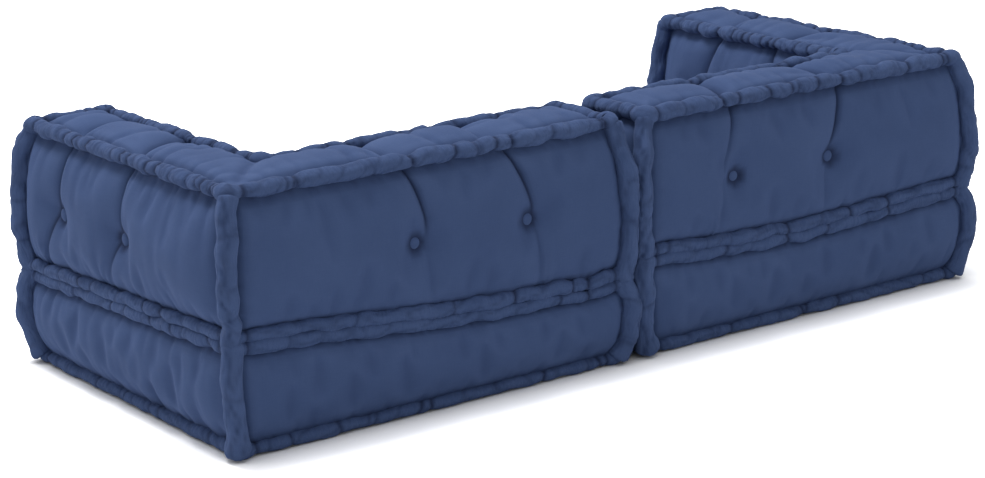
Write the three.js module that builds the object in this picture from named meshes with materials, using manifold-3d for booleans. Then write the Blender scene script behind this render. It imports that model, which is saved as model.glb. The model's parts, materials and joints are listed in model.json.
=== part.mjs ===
// Modular floor sofa: two mattress modules that stand side by side.
// Each module is a stuffed base cushion with an L-shaped back and arm cushion sewn on top of it.
// Every edge is a stitched roll with pinches, and buttons on twine draw the faces in.
// Millimetres, +Z up. The sofa faces -Y, its origin is the middle of its footprint on the floor.
import * as THREE from 'three';
import { mergeVertices } from 'three/addons/utils/BufferGeometryUtils.js';
import Module from 'manifold-3d';

// Overall size
const moduleLength = 715;
const moduleDepth = 635;
const sofaHeight = 400;
const baseHeight = 152;
const wallThickness = 186;
const moduleGap = 8;

// Stitched edge rolls: their radii, and how far each stands inside the widest line of the cushion
const bottomRollRadius = 12;
const seamRollRadius = 11;
const topRollRadius = 14;
const cornerRollRadius = 19;
const bottomDrawIn = 18;
const seamDrawIn = 8;
const topDrawIn = 16;
const grooveDepth = 8;
const innerCornerRadius = 4;
const cornerReach = 56;
const cornerPinch = 3;
const tightestShare = 0.34;

// Stuffing: how the faces swell between the rolls
const bellyShoulder = 4;
const backBellyInset = 4;
const topCrown = 12;
const seatCrown = 18;
const foldDepth = 3;

// Tufts: a button on each face of the back and arm, and on the seat
const buttonRadius = 10;
const buttonEdge = 1.5;
const buttonDome = 4;
const buttonSides = 12;
const tuftMargin = 1;
const tuftDepth = 20;
const tuftPull = 7;
const creaseHalfWidth = 3;
const creaseDepth = 10;
const topCreaseDepth = 13;
const tuftHeightShare = 0.427;
const twineRadius = 1.2;
const twineSides = 5;
const twineEndRecess = 0.6;

// Inside: the firm core, and what the cover and its wadding keep around it
const coverWall = 8;
const coreCornerRadius = 26;
const coreBevel = 6;

// Cushions and buttons that touch keep this much apart
const clearance = 0.3;

// Places along a cushion, as shares of the stretch that they divide
const wallStripShares = [0.15, 0.85];
const backTuftShares = [0.253, 0.63];
const armTuftShares = [0.27, 0.69];
const nearSpanShares = [0.7];
const middleSpanShares = [0.15, 0.5, 0.85];
const backEndShares = [0.26, 0.74];
const armEndShares = [0.5];
const baseBellyShares = [0.3, 0.7];

// A button's dome, as shares of its radius and of its rise
const domeShares = [[0.86, 0.5], [0.5, 0.87]];

// Rings of a roll, as angles up from its outermost line
const lowRollAngles = [-38, 14];
const highRollAngles = [-14, 38, 90];
const grooveHeightShare = 0.94;

const wasm = await Module();
wasm.setup();

const materials = {
  cloth: { color: 0x46587f, roughness: 0.92, metalness: 0 },
  button: { color: 0x4c5f88, roughness: 0.85, metalness: 0 },
  core: { color: 0xe6dfcf, roughness: 0.95, metalness: 0 },
  twine: { color: 0x2f3c5c, roughness: 0.8, metalness: 0 },
};

// Levels, from the floor up
const baseTop = baseHeight - clearance / 2;
const backBottom = baseHeight + clearance / 2;
const backHeight = sofaHeight - backBottom;
const backRollTop = sofaHeight - topCrown;
const tuftLevel = backBottom + tuftHeightShare * backHeight;
const tuftHalf = buttonRadius + tuftMargin;
const seatTuftLevel = baseTop + seatCrown - tuftDepth;

// Lines across a cushion in plan. A crease is a pair of lines that close in on each other away
// from their button, so its line has a side and everything else lies on its own place.
function between(from, to, shares, kind) {
  return shares.map((share) => ({ kind, at: from + share * (to - from) }));
}

function creasePair(centre) {
  return [-1, 1].map((side) => ({ kind: 'crease', at: centre, side }));
}

function planLines(length, tuftShares, endShares) {
  const stripFrom = cornerReach;
  const stripTo = wallThickness - cornerReach;
  const [near, far] = tuftShares.map((share) => wallThickness + share * (length - wallThickness));
  return [
    { kind: 'edge', at: 0 },
    ...between(stripFrom, stripTo, wallStripShares, 'strip'),
    { kind: 'wall', at: wallThickness },
    ...between(wallThickness, near - tuftHalf, nearSpanShares, 'rim'),
    ...creasePair(near),
    ...between(near + tuftHalf, far - tuftHalf, middleSpanShares, 'puff'),
    ...creasePair(far),
    ...between(far + tuftHalf, length - cornerReach, endShares, 'rim'),
    { kind: 'edge', at: length },
  ];
}

function lineAt(line, atTuft) {
  const halfWidth = atTuft ? tuftHalf : creaseHalfWidth;
  return line.at + (line.side ?? 0) * halfWidth;
}

const backLines = planLines(moduleLength, backTuftShares, backEndShares);
const armLines = planLines(moduleDepth, armTuftShares, armEndShares);
const wallLine = backLines.findIndex((line) => line.kind === 'wall');
const backEnd = backLines.length - 1;
const armEnd = armLines.length - 1;

// Outlines in plan, as pairs of line numbers, turning left all the way round
const baseOutline = [[0, 0], [backEnd, 0], [backEnd, armEnd], [0, armEnd]];
const backOutline = [
  [0, 0], [backEnd, 0], [backEnd, wallLine], [wallLine, wallLine], [wallLine, armEnd], [0, armEnd],
];

// How far each kind of line draws the rolls in, from 0 for a full roll to 1 for a tight pinch
const pinchShares = { crease: 1, rim: 0.1, puff: 0.55, strip: 0.6, groove: 0.9, bead: 0, inner: 0.4 };

function heading(from, to) {
  return [Math.sign(to[0] - from[0]), Math.sign(to[1] - from[1])];
}

function leftOf([x, y]) {
  return [-y, x];
}

// Stations round an outline: five on each outer corner, one in an inner corner, and one on every
// line that meets an edge.
function outlineStations(outline, tuftedLines) {
  const stations = [];
  outline.forEach((corner, index) => {
    const before = outline.at(index - 1);
    const next = outline[(index + 1) % outline.length];
    const into = heading(before, corner);
    const out = heading(corner, next);
    const turnsLeft = into[0] * out[1] - into[1] * out[0] > 0;
    const place = [backLines[corner[0]].at, armLines[corner[1]].at];
    const common = { cell: corner, place, into, out };
    if (turnsLeft) {
      for (const step of ['grooveIn', 'beadIn', 'bead', 'beadOut', 'grooveOut']) {
        const pinch = step.startsWith('groove') ? pinchShares.groove : pinchShares.bead;
        stations.push({ ...common, kind: 'corner', step, pinch });
      }
    } else {
      stations.push({ ...common, kind: 'inner', pinch: pinchShares.inner });
    }
    const alongBack = out[0] !== 0;
    const lines = alongBack ? backLines : armLines;
    const axis = alongBack ? 0 : 1;
    const step = out[axis];
    for (let line = corner[axis] + step; line !== next[axis]; line += step) {
      const cell = [...corner];
      cell[axis] = line;
      const { kind } = lines[line];
      const tufted = kind === 'crease' && tuftedLines;
      const pinch = pinchShares[kind] ?? pinchShares.inner;
      stations.push({ cell, place, out, axis, kind, tufted, pinch, line: lines[line] });
    }
  });
  return stations;
}

// Where a station lies in plan on a ring of the cushion
function stationPoint(station, ring) {
  const { place, into, out, kind, step } = station;
  const inset = ring.inset(station);
  if (kind === 'inner') {
    const inward = [leftOf(into)[0] + leftOf(out)[0], leftOf(into)[1] + leftOf(out)[1]];
    return [place[0] + inset * inward[0], place[1] + inset * inward[1]];
  }
  if (kind === 'corner') {
    const { round } = ring;
    const diagonal = inset + round * (1 - Math.SQRT1_2);
    const rollFoot = Math.min(inset + 2 * cornerRollRadius, cornerReach);
    const steps = {
      grooveIn: [rollFoot, inset],
      beadIn: [inset + round, inset],
      bead: [diagonal, diagonal],
      beadOut: [inset, inset + round],
      grooveOut: [inset, rollFoot],
    };
    const [back, side] = steps[step];
    return [place[0] - back * into[0] + side * out[0], place[1] - back * into[1] + side * out[1]];
  }
  const point = [...place];
  const inward = leftOf(out);
  const across = 1 - station.axis;
  point[station.axis] = lineAt(station.line, ring.atTuft && station.tufted);
  point[across] += inset * inward[across];
  return point;
}

// Rings of a cushion. Each gives a height and an inset from the widest line for every station.
function rollRing(drawIn, radius, centre, angle) {
  const turn = THREE.MathUtils.degToRad(angle);
  const drawn = (station) => radius * (1 - tightestShare * station.pinch);
  return {
    round: cornerRollRadius - radius * (1 - Math.cos(turn)),
    inset: (station) => drawIn + radius - drawn(station) * Math.cos(turn),
    height: (station) => centre + drawn(station) * Math.sin(turn),
  };
}

function flatRing(drawIn, radius, level) {
  return {
    round: cornerRollRadius - radius,
    inset: () => drawIn + radius,
    height: () => level,
  };
}

function onCornerRoll(station) {
  return station.kind === 'corner' && station.step.startsWith('bead');
}

function grooveRing(drawIn, level) {
  const shallow = grooveDepth / 2;
  return {
    round: cornerRollRadius,
    inset: (station) => drawIn + (onCornerRoll(station) ? shallow : grooveDepth),
    height: () => level,
  };
}

function bellyRing({ level, inset, swell, crease, pinched = false, atTuft = false }) {
  const rollInset = inset + (pinched ? cornerPinch : 0);
  return {
    atTuft,
    round: cornerRollRadius,
    height: () => level,
    inset: (station) => {
      if (onCornerRoll(station)) return rollInset;
      if (station.kind === 'corner') return inset + grooveDepth;
      if (station.kind === 'inner') return inset + grooveDepth;
      if (station.kind === 'strip') return inset + bellyShoulder - swell;
      if (station.kind === 'crease') return inset + (station.tufted ? crease : foldDepth);
      if (station.kind === 'rim') return inset + (atTuft ? tuftPull / 2 : 0);
      return inset + bellyShoulder / 2 - swell / 2;
    },
  };
}

function innerGrooveRing(drawIn, radius, centre) {
  return {
    round: innerCornerRadius,
    inset: () => drawIn + 2 * radius,
    height: () => centre,
  };
}

// Closes a stack of rings with a flat underside and a top made of the plan's cells
function cushionGeometry({ stations, rings, cellInside, topHeight }) {
  const points = [];
  const faces = [];
  for (const ring of rings) {
    for (const station of stations) {
      points.push([...stationPoint(station, ring), ring.height(station)]);
    }
  }
  const count = stations.length;
  for (let ring = 0; ring < rings.length - 1; ring += 1) {
    for (let index = 0; index < count; index += 1) {
      const next = (index + 1) % count;
      const low = ring * count;
      const high = low + count;
      faces.push([low + index, low + next, high + next], [low + index, high + next, high + index]);
    }
  }

  const under = stations.map((station, index) => new THREE.Vector2(...points[index]));
  for (const [a, b, c] of THREE.ShapeUtils.triangulateShape(under, [])) faces.push([c, b, a]);

  const lastRing = (rings.length - 1) * count;
  const cornerIds = new Map();
  stations.forEach((station, index) => {
    const key = station.cell.join();
    cornerIds.set(key, [...(cornerIds.get(key) ?? []), lastRing + index]);
  });
  const idsAt = (i, j) => {
    const key = [i, j].join();
    if (!cornerIds.has(key)) {
      const backLine = backLines[i];
      const armLine = armLines[j];
      const crossing = backLine.kind === 'crease' && armLine.kind === 'crease';
      const x = lineAt(backLine, crossing);
      const y = lineAt(armLine, crossing);
      points.push([x, y, topHeight(backLine, armLine)]);
      cornerIds.set(key, [points.length - 1]);
    }
    return cornerIds.get(key);
  };
  for (let i = 0; i < backEnd; i += 1) {
    for (let j = 0; j < armEnd; j += 1) {
      if (!cellInside(i, j)) continue;
      const corners = [idsAt(i, j), idsAt(i + 1, j), idsAt(i + 1, j + 1), idsAt(i, j + 1)];
      const rounded = corners.findIndex((ids) => ids.length > 1);
      const first = rounded < 0 ? 0 : (rounded + 2) % corners.length;
      const loop = corners.map((_, turn) => corners[(first + turn) % corners.length]).flat();
      for (let turn = 1; turn < loop.length - 1; turn += 1) {
        faces.push([loop[0], loop[turn], loop[turn + 1]]);
      }
    }
  }

  const geometry = new THREE.BufferGeometry();
  geometry.setAttribute('position', new THREE.Float32BufferAttribute(points.flat(), 3));
  geometry.setIndex(faces.flat());
  return geometry;
}

// Base cushion: level where the back cushion presses on it, crowned and tufted where people sit
const underWall = (line) => line.at <= wallThickness;

function seatHeight(backLine, armLine) {
  if (underWall(backLine) || underWall(armLine)) return baseTop;
  const crossed = [backLine, armLine].filter((line) => line.kind === 'crease').length;
  const dips = [0, creaseDepth, tuftDepth];
  return baseTop + seatCrown - dips[crossed];
}

function baseForm() {
  const low = 2 * bottomRollRadius * grooveHeightShare;
  const high = baseTop - 2 * seamRollRadius * grooveHeightShare;
  const seamCentre = baseTop - seamRollRadius;
  const rings = [
    flatRing(bottomDrawIn, bottomRollRadius, 0),
    ...lowRollAngles.map((angle) => rollRing(bottomDrawIn, bottomRollRadius, bottomRollRadius, angle)),
    grooveRing(bottomDrawIn, low),
    ...baseBellyShares.map((share, index) => bellyRing({
      level: low + share * (high - low),
      inset: 0,
      swell: bellyShoulder,
      crease: foldDepth,
      pinched: index > 0,
    })),
    grooveRing(seamDrawIn, high),
    ...highRollAngles.map((angle) => rollRing(seamDrawIn, seamRollRadius, seamCentre, angle)),
    innerGrooveRing(seamDrawIn, seamRollRadius, seamCentre),
  ];
  return cushionGeometry({
    rings,
    stations: outlineStations(baseOutline, false),
    cellInside: () => true,
    topHeight: seatHeight,
  });
}

// Back and arm cushion: one L, with a crown of puffs between creases that run over its top
function crownHeight(backLine, armLine) {
  const kinds = [backLine.kind, armLine.kind];
  if (kinds.includes('crease')) return sofaHeight - topCreaseDepth;
  if (backLine.kind === 'strip' && armLine.kind === 'strip') {
    const onDiagonal = backLines.indexOf(backLine) === armLines.indexOf(armLine);
    return sofaHeight - (onDiagonal ? topCreaseDepth / 2 : 0);
  }
  return sofaHeight - (kinds.includes('wall') ? creaseHalfWidth : 0);
}

function backForm() {
  const low = backBottom + 2 * seamRollRadius * grooveHeightShare;
  const high = backRollTop - 2 * topRollRadius * grooveHeightShare;
  const lowTuft = tuftLevel - tuftHalf;
  const highTuft = tuftLevel + tuftHalf;
  const topCentre = backRollTop - topRollRadius;
  const seamCentre = backBottom + seamRollRadius;
  const inset = backBellyInset;
  const atTufts = { inset, swell: bellyShoulder, crease: tuftDepth - inset, atTuft: true };
  const rings = [
    flatRing(seamDrawIn, seamRollRadius, backBottom),
    ...lowRollAngles.map((angle) => rollRing(seamDrawIn, seamRollRadius, seamCentre, angle)),
    grooveRing(seamDrawIn, low),
    bellyRing({ level: (low + lowTuft) / 2, inset, swell: 0, crease: creaseDepth / 2, pinched: true }),
    bellyRing({ ...atTufts, level: lowTuft }),
    bellyRing({ ...atTufts, level: highTuft, pinched: true }),
    bellyRing({ level: (highTuft + high) / 2, inset, swell: 0, crease: creaseDepth }),
    grooveRing(topDrawIn, high),
    ...highRollAngles.map((angle) => rollRing(topDrawIn, topRollRadius, topCentre, angle)),
    innerGrooveRing(topDrawIn, topRollRadius, topCentre),
  ];
  return cushionGeometry({
    rings,
    stations: outlineStations(backOutline, true),
    cellInside: (i, j) => i < wallLine || j < wallLine,
    topHeight: crownHeight,
  });
}

// Cores: plain blocks with eased corners, inside everything that the cover's grooves and tufts reach
const coreInset = Math.max(bottomDrawIn + grooveDepth, topDrawIn + grooveDepth, tuftDepth) + coverWall;
const baseCoreBottom = coverWall;
const baseCoreTop = Math.min(seatTuftLevel, baseTop - seamRollRadius) - coverWall;
const backCoreBottom = backBottom + coverWall;
const backCoreTop = backRollTop - topRollRadius - coverWall;

function cornersOf(outline, inset) {
  return outline.map((corner, index) => {
    const into = leftOf(heading(outline.at(index - 1), corner));
    const out = leftOf(heading(corner, outline[(index + 1) % outline.length]));
    const x = backLines[corner[0]].at + inset * (into[0] + out[0]);
    const y = armLines[corner[1]].at + inset * (into[1] + out[1]);
    return new THREE.Vector2(x, y);
  });
}

function roundedShape(corners, radius) {
  const shape = new THREE.Shape();
  corners.forEach((corner, index) => {
    const before = corners.at(index - 1);
    const next = corners[(index + 1) % corners.length];
    const start = corner.clone().add(before.clone().sub(corner).setLength(radius));
    const end = corner.clone().add(next.clone().sub(corner).setLength(radius));
    if (index === 0) shape.moveTo(start.x, start.y);
    else shape.lineTo(start.x, start.y);
    shape.quadraticCurveTo(corner.x, corner.y, end.x, end.y);
  });
  return shape;
}

function coreGeometry(outline, bottom, top, grow) {
  const shape = roundedShape(cornersOf(outline, coreInset - grow), coreCornerRadius);
  const geometry = new THREE.ExtrudeGeometry(shape, {
    depth: top - bottom + 2 * grow - 2 * coreBevel,
    curveSegments: 2,
    bevelSegments: 1,
    bevelThickness: coreBevel,
    bevelSize: coreBevel,
    bevelOffset: -coreBevel,
  });
  return geometry.translate(0, 0, bottom - grow + coreBevel);
}

// Solids from geometries and back
function toSolid(geometry) {
  const bare = new THREE.BufferGeometry();
  bare.setAttribute('position', geometry.getAttribute('position'));
  if (geometry.index) bare.setIndex(geometry.index);
  const merged = mergeVertices(bare);
  const mesh = new wasm.Mesh({
    numProp: 3,
    vertProperties: new Float32Array(merged.getAttribute('position').array),
    triVerts: new Uint32Array(merged.index.array),
  });
  return new wasm.Manifold(mesh);
}

function toGeometry(solid) {
  const { vertProperties, triVerts } = solid.getMesh();
  const geometry = new THREE.BufferGeometry();
  geometry.setAttribute('position', new THREE.BufferAttribute(vertProperties, 3));
  geometry.setIndex(new THREE.BufferAttribute(triVerts, 1));
  return geometry;
}

// Tufts: where each button sits, which way it faces, and the twine behind it
const tuftCentres = (lines) => lines.filter((line) => line.side === -1).map((line) => line.at);
const backTufts = tuftCentres(backLines);
const armTufts = tuftCentres(armLines);
const innerSeat = wallThickness - tuftDepth;
const towardBack = new THREE.Vector3(0, -1, 0);
const towardFront = new THREE.Vector3(0, 1, 0);
const towardArm = new THREE.Vector3(-1, 0, 0);
const towardMiddle = new THREE.Vector3(1, 0, 0);
const upward = new THREE.Vector3(0, 0, 1);

const wallTufts = [
  ...backTufts.map((along, index) => ({
    name: `back_${index + 1}`,
    ends: [tuftDepth, innerSeat].map((across) => new THREE.Vector3(along, across, tuftLevel)),
    facings: [towardBack, towardFront],
  })),
  ...armTufts.map((along, index) => ({
    name: `arm_${index + 1}`,
    ends: [tuftDepth, innerSeat].map((across) => new THREE.Vector3(across, along, tuftLevel)),
    facings: [towardArm, towardMiddle],
  })),
];

const seatTufts = armTufts.flatMap((across, row) => backTufts.map((along, column) => ({
  name: `seat_${row * backTufts.length + column + 1}`,
  ends: [
    new THREE.Vector3(along, across, seatTuftLevel),
    new THREE.Vector3(along, across, twineEndRecess),
  ],
  facings: [upward],
})));

function rodBetween([start, end], radius, overrun) {
  const axis = end.clone().sub(start);
  const rod = new THREE.CylinderGeometry(radius, radius, axis.length() + 2 * overrun, twineSides);
  const turn = new THREE.Quaternion().setFromUnitVectors(new THREE.Vector3(0, 1, 0), axis.normalize());
  const middle = start.clone().add(end).divideScalar(2);
  return rod.applyQuaternion(turn).translate(middle.x, middle.y, middle.z);
}

function withTwineBores(solid, tufts) {
  const boreOverrun = 2 * tuftDepth;
  return tufts.reduce(
    (left, tuft) => left.subtract(toSolid(rodBetween(tuft.ends, twineRadius + clearance, boreOverrun))),
    solid,
  );
}

function buttonGeometry() {
  const profile = [
    new THREE.Vector2(0, 0),
    new THREE.Vector2(buttonRadius, 0),
    new THREE.Vector2(buttonRadius, buttonEdge),
    ...domeShares.map(([out, up]) => (
      new THREE.Vector2(out * buttonRadius, buttonEdge + up * buttonDome)
    )),
    new THREE.Vector2(0, buttonEdge + buttonDome),
  ];
  return new THREE.LatheGeometry(profile, buttonSides);
}

function placedButton(seat, facing) {
  const turn = new THREE.Quaternion().setFromUnitVectors(new THREE.Vector3(0, 1, 0), facing);
  const lifted = seat.clone().addScaledVector(facing, clearance);
  return buttonGeometry().applyQuaternion(turn).translate(lifted.x, lifted.y, lifted.z);
}

// Every piece of one module, in its own plan: x from the arm side, y from the back
function modulePieces() {
  const covered = [
    {
      name: 'base',
      form: baseForm(),
      outline: baseOutline,
      levels: [baseCoreBottom, baseCoreTop],
      tufts: seatTufts,
    },
    {
      name: 'back',
      form: backForm(),
      outline: backOutline,
      levels: [backCoreBottom, backCoreTop],
      tufts: wallTufts,
    },
  ];
  const pieces = [];
  for (const { name, form, outline, levels, tufts } of covered) {
    const hollow = toSolid(coreGeometry(outline, ...levels, clearance));
    const cover = withTwineBores(toSolid(form).subtract(hollow), tufts);
    const core = withTwineBores(toSolid(coreGeometry(outline, ...levels, 0)), tufts);
    pieces.push({ name: `${name}_cover`, look: 'cloth', geometry: toGeometry(cover) });
    pieces.push({ name: `${name}_core`, look: 'core', geometry: toGeometry(core) });
  }
  for (const { name, ends, facings } of [...wallTufts, ...seatTufts]) {
    const labels = facings.length > 1 ? ['outer_button', 'inner_button'] : ['button'];
    facings.forEach((facing, index) => {
      const geometry = placedButton(ends[index], facing);
      pieces.push({ name: `${name}_${labels[index]}`, look: 'button', geometry });
    });
    pieces.push({ name: `${name}_twine`, look: 'twine', geometry: rodBetween(ends, twineRadius, 0) });
  }
  return pieces;
}

// The other module is the mirror image, so its faces are turned back to point out
function mirrored(geometry) {
  const copy = mergeVertices(new THREE.BufferGeometry()
    .setAttribute('position', geometry.getAttribute('position').clone())
    .setIndex(geometry.index.clone()));
  copy.scale(-1, 1, 1);
  const order = copy.index.array;
  for (let face = 0; face < order.length; face += 3) {
    [order[face], order[face + 1]] = [order[face + 1], order[face]];
  }
  return copy;
}

function buildModule(side) {
  const group = new THREE.Group();
  const onLeft = side === 'left';
  for (const { name, look, geometry } of modulePieces()) {
    const shape = onLeft ? geometry : mirrored(geometry);
    const mesh = new THREE.Mesh(shape, new THREE.MeshStandardMaterial(materials[look]));
    mesh.name = `${side}_${name}`;
    group.add(mesh);
  }
  const reach = moduleGap / 2 + moduleLength;
  group.rotation.z = Math.PI;
  group.position.set(onLeft ? reach : -reach, moduleDepth / 2, 0);
  return group;
}

const sofa = new THREE.Group();
sofa.name = 'modular_sofa';
for (const side of ['left', 'right']) sofa.add(buildModule(side));

export default sofa;
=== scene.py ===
# %% [markdown]
# A low floor sofa of two loose modules. Each module is two stuffed cotton cushions, sewn one on top
# of the other: a rectangular base, and an L that is back and arm in one. This script dresses the
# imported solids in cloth: the skins are simulated, and the rolls and buttons follow their shapes.

# %% The frame
import json
import math
import time

import bmesh
import bpy
import numpy as np
from mathutils import Matrix, Vector

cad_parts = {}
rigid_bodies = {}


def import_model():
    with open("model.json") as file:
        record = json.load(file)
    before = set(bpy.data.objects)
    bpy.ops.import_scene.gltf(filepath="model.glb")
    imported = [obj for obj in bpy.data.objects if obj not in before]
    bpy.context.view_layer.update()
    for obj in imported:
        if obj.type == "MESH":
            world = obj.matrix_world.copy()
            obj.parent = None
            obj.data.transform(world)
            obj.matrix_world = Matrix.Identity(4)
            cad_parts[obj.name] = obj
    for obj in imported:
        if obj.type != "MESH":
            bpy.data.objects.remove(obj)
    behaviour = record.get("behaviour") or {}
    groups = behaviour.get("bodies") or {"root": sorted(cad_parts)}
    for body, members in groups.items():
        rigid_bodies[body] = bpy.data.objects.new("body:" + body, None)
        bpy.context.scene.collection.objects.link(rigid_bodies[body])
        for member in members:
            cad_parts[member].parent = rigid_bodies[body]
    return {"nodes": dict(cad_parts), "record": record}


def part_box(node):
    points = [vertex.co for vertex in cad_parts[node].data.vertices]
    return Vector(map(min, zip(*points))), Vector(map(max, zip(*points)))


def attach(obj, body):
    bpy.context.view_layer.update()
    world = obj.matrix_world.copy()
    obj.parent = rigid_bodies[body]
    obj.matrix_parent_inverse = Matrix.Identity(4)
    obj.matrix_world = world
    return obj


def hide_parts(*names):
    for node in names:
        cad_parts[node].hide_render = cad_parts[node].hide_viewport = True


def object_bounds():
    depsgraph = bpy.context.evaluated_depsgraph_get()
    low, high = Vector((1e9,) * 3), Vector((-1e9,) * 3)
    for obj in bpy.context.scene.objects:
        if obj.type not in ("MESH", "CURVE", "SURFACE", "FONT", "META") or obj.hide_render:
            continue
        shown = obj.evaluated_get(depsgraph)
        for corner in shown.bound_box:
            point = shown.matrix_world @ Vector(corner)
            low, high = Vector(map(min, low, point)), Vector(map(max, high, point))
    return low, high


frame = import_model()
bpy.context.view_layer.update()
cad_low, cad_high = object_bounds()
started = time.time()

# %% [markdown]
# The photograph was taken from behind and above with a long lens. The camera's place and its
# turn were fitted to the corners and buttons of the sofa.

# %% Camera
IMAGE_WIDTH = 985
FOCAL_PIXELS = 2598
SENSOR = 0.036
CAMERA_PLACE = Vector((2.392, 3.2345, 1.215))
CAMERA_TURN = math.radians(180 - 35.98)
CAMERA_DIP = math.radians(15.06)
CAMERA_ROLL = math.radians(-1.42)

lens = bpy.data.cameras.new("photo_camera")
lens.sensor_width = SENSOR * 1000
lens.lens = SENSOR * 1000 * FOCAL_PIXELS / IMAGE_WIDTH
camera = bpy.data.objects.new("photo_camera", lens)
bpy.context.scene.collection.objects.link(camera)
camera.rotation_mode = "QUATERNION"
camera.location = CAMERA_PLACE
ahead = Vector((
    -math.sin(CAMERA_TURN) * math.cos(CAMERA_DIP),
    math.cos(CAMERA_TURN) * math.cos(CAMERA_DIP),
    -math.sin(CAMERA_DIP),
))
level = ahead.to_track_quat("-Z", "Y")
camera.rotation_quaternion = level @ Matrix.Rotation(CAMERA_ROLL, 3, "Z").to_quaternion()
bpy.context.scene.camera = camera
print("camera at", [round(v, 3) for v in camera.location])

# %% [markdown]
# The sofa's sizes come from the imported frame. Everything is laid out in the plan of one module,
# x from the outer side of the arm, y from the back and z up, and then put in place for each side.

# %% Sizes from the frame
MODULES = ("left", "right")
OPENING_MARGIN = 0.004
low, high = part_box("left_base_cover")
LENGTH, DEPTH = high.x - low.x, high.y - low.y
GAP = 2 * low.x
HEIGHT = cad_high.z
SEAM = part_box("left_back_cover")[0].z
seat_opening = frame["record"]["physics"]["openings"][0]["box_m"]
WALL = cad_high.y - seat_opening[1][1] - OPENING_MARGIN
print(f"module {LENGTH:.3f} x {DEPTH:.3f} x {HEIGHT:.3f}, wall {WALL:.3f}, seam at {SEAM:.3f}")


def to_frame(side, points):
    """Plan coordinates of one module, as an array, to the frame's."""
    placed = np.array(points, float)
    reach = GAP / 2 + LENGTH
    placed[:, 0] = reach - placed[:, 0] if side == "left" else placed[:, 0] - reach
    placed[:, 1] = DEPTH / 2 - placed[:, 1]
    return placed


def to_plan(side, point):
    """A point of the frame to the plan coordinates of one module."""
    reach = GAP / 2 + LENGTH
    x = reach - point[0] if side == "left" else point[0] + reach
    return np.array([x, DEPTH / 2 - point[1], point[2]])


def button_place(node):
    """The middle of a button's back, in the plan of its module."""
    side = node.split("_")[0]
    lowest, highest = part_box(node)
    return to_plan(side, (lowest + highest) / 2)


# %% [markdown]
# A cushion's skin starts as a plain block whose edges lie where the stitched rolls will lie. It is
# cut into a fine grid first, because the cloth needs small even squares to fold. Each square also
# gets its place on the flat cloth, so that the weave follows every fold later on.

# %% Blocks of cloth
CELL = 0.007
NEAR = 0.0001
SAME_POINT = 0.00001
TINY = 1e-9
TOP_ROLL, SEAM_ROLL, BOTTOM_ROLL, CORNER_ROLL = 0.0130, 0.0084, 0.0110, 0.0150
EDGE_INSET = 0.024
TOP_AXIS = HEIGHT - 0.011 - TOP_ROLL
INNER = WALL - EDGE_INSET
SPAN = INNER - EDGE_INSET


def cuts_for(length):
    return max(1, round(length / CELL)) - 1


def pull_side(mesh, corner, axis, distance):
    """Pulls out the side of the corner block that looks along an axis."""
    def on_side(face):
        inside = all(v.co[k] < corner[k] + NEAR for v in face.verts for k in range(3))
        return inside and all(abs(v.co[axis] - corner[axis]) < NEAR for v in face.verts)
    faces = [f for f in mesh.faces if on_side(f)]
    pulled = bmesh.ops.extrude_face_region(mesh, geom=faces)["geom"]
    bmesh.ops.delete(mesh, geom=faces, context="FACES")
    shift = Vector((0, 0, 0))
    shift[axis] = distance
    bmesh.ops.translate(mesh, vec=shift, verts=[v for v in pulled if isinstance(v, bmesh.types.BMVert)])


def runs_of(mesh):
    """The straight runs that the edges of a block make along each axis."""
    runs = set()
    for edge in mesh.edges:
        a, b = (v.co for v in edge.verts)
        axis = max(range(3), key=lambda k: abs(b[k] - a[k]))
        runs.add((axis, *sorted((round(a[axis], 5), round(b[axis], 5)))))
    return sorted(runs)


def same_run(edge, axis, start, end):
    """Whether an edge goes from one place to the other along an axis."""
    a, b = sorted(v.co[axis] for v in edge.verts)
    return abs(a - start) < NEAR and abs(b - end) < NEAR


def block(lowest, highest, arms=()):
    """A box from one corner to another, with arms pulled out of its sides, as a fine grid."""
    mesh = bmesh.new()
    bmesh.ops.create_cube(mesh, size=1)
    span = Vector(highest) - Vector(lowest)
    bmesh.ops.scale(mesh, vec=span, verts=mesh.verts)
    bmesh.ops.translate(mesh, vec=Vector(lowest) + span / 2, verts=mesh.verts)
    for axis, distance in arms:
        pull_side(mesh, highest, axis, distance)
    for axis, start, end in runs_of(mesh):
        edges = [e for e in mesh.edges if same_run(e, axis, start, end)]
        bmesh.ops.subdivide_edges(mesh, edges=edges, cuts=cuts_for(end - start), use_grid_fill=True)
    return mesh


TIGHT_WITHIN = 0.035
TIGHTENING = 1.5


def tightened(places, edges):
    """Moves grid lines closer together beside the rolls, where the cloth bends most."""
    moved = places.copy()
    for start, end in zip(edges, edges[1:]):
        for edge, sign in ((start, 1), (end, -1)):
            away = (places - edge) * sign
            near = (away > 0) & (away < min(TIGHT_WITHIN, (end - start) / 2))
            near &= (places > start) & (places < end)
            moved[near] = edge + sign * TIGHT_WITHIN * (away[near] / TIGHT_WITHIN) ** TIGHTENING
    return moved


def points_of(mesh):
    points = np.empty(len(mesh.vertices) * 3)
    mesh.vertices.foreach_get("co", points)
    return points.reshape(-1, 3)


def set_points(mesh, points):
    mesh.vertices.foreach_set("co", np.asarray(points, np.float32).ravel())
    mesh.update()


# %% [markdown]
# The block is then pushed into the plump shape that the stuffing gives it: the corners stand back
# and bow out between floor and top, and the sides swell between their rolls.

# %% The stuffed shape
CORNER_BOW = 0.013
PLUMP_WITHIN = 0.07
BARREL_POWER = 2.4
WAVE_SIZES, WAVE_HEIGHT = (1.0, 0.61, 0.43), 2.2
ANY_TURN = 6.3
NORMALS = {
    "back": (0, -1, 0), "arm": (-1, 0, 0), "open": (1, 0, 0), "front": (0, 1, 0),
    "inner_back": (0, 1, 0), "inner_arm": (1, 0, 0), "top": (0, 0, 1), "bottom": (0, 0, -1),
}


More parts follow.
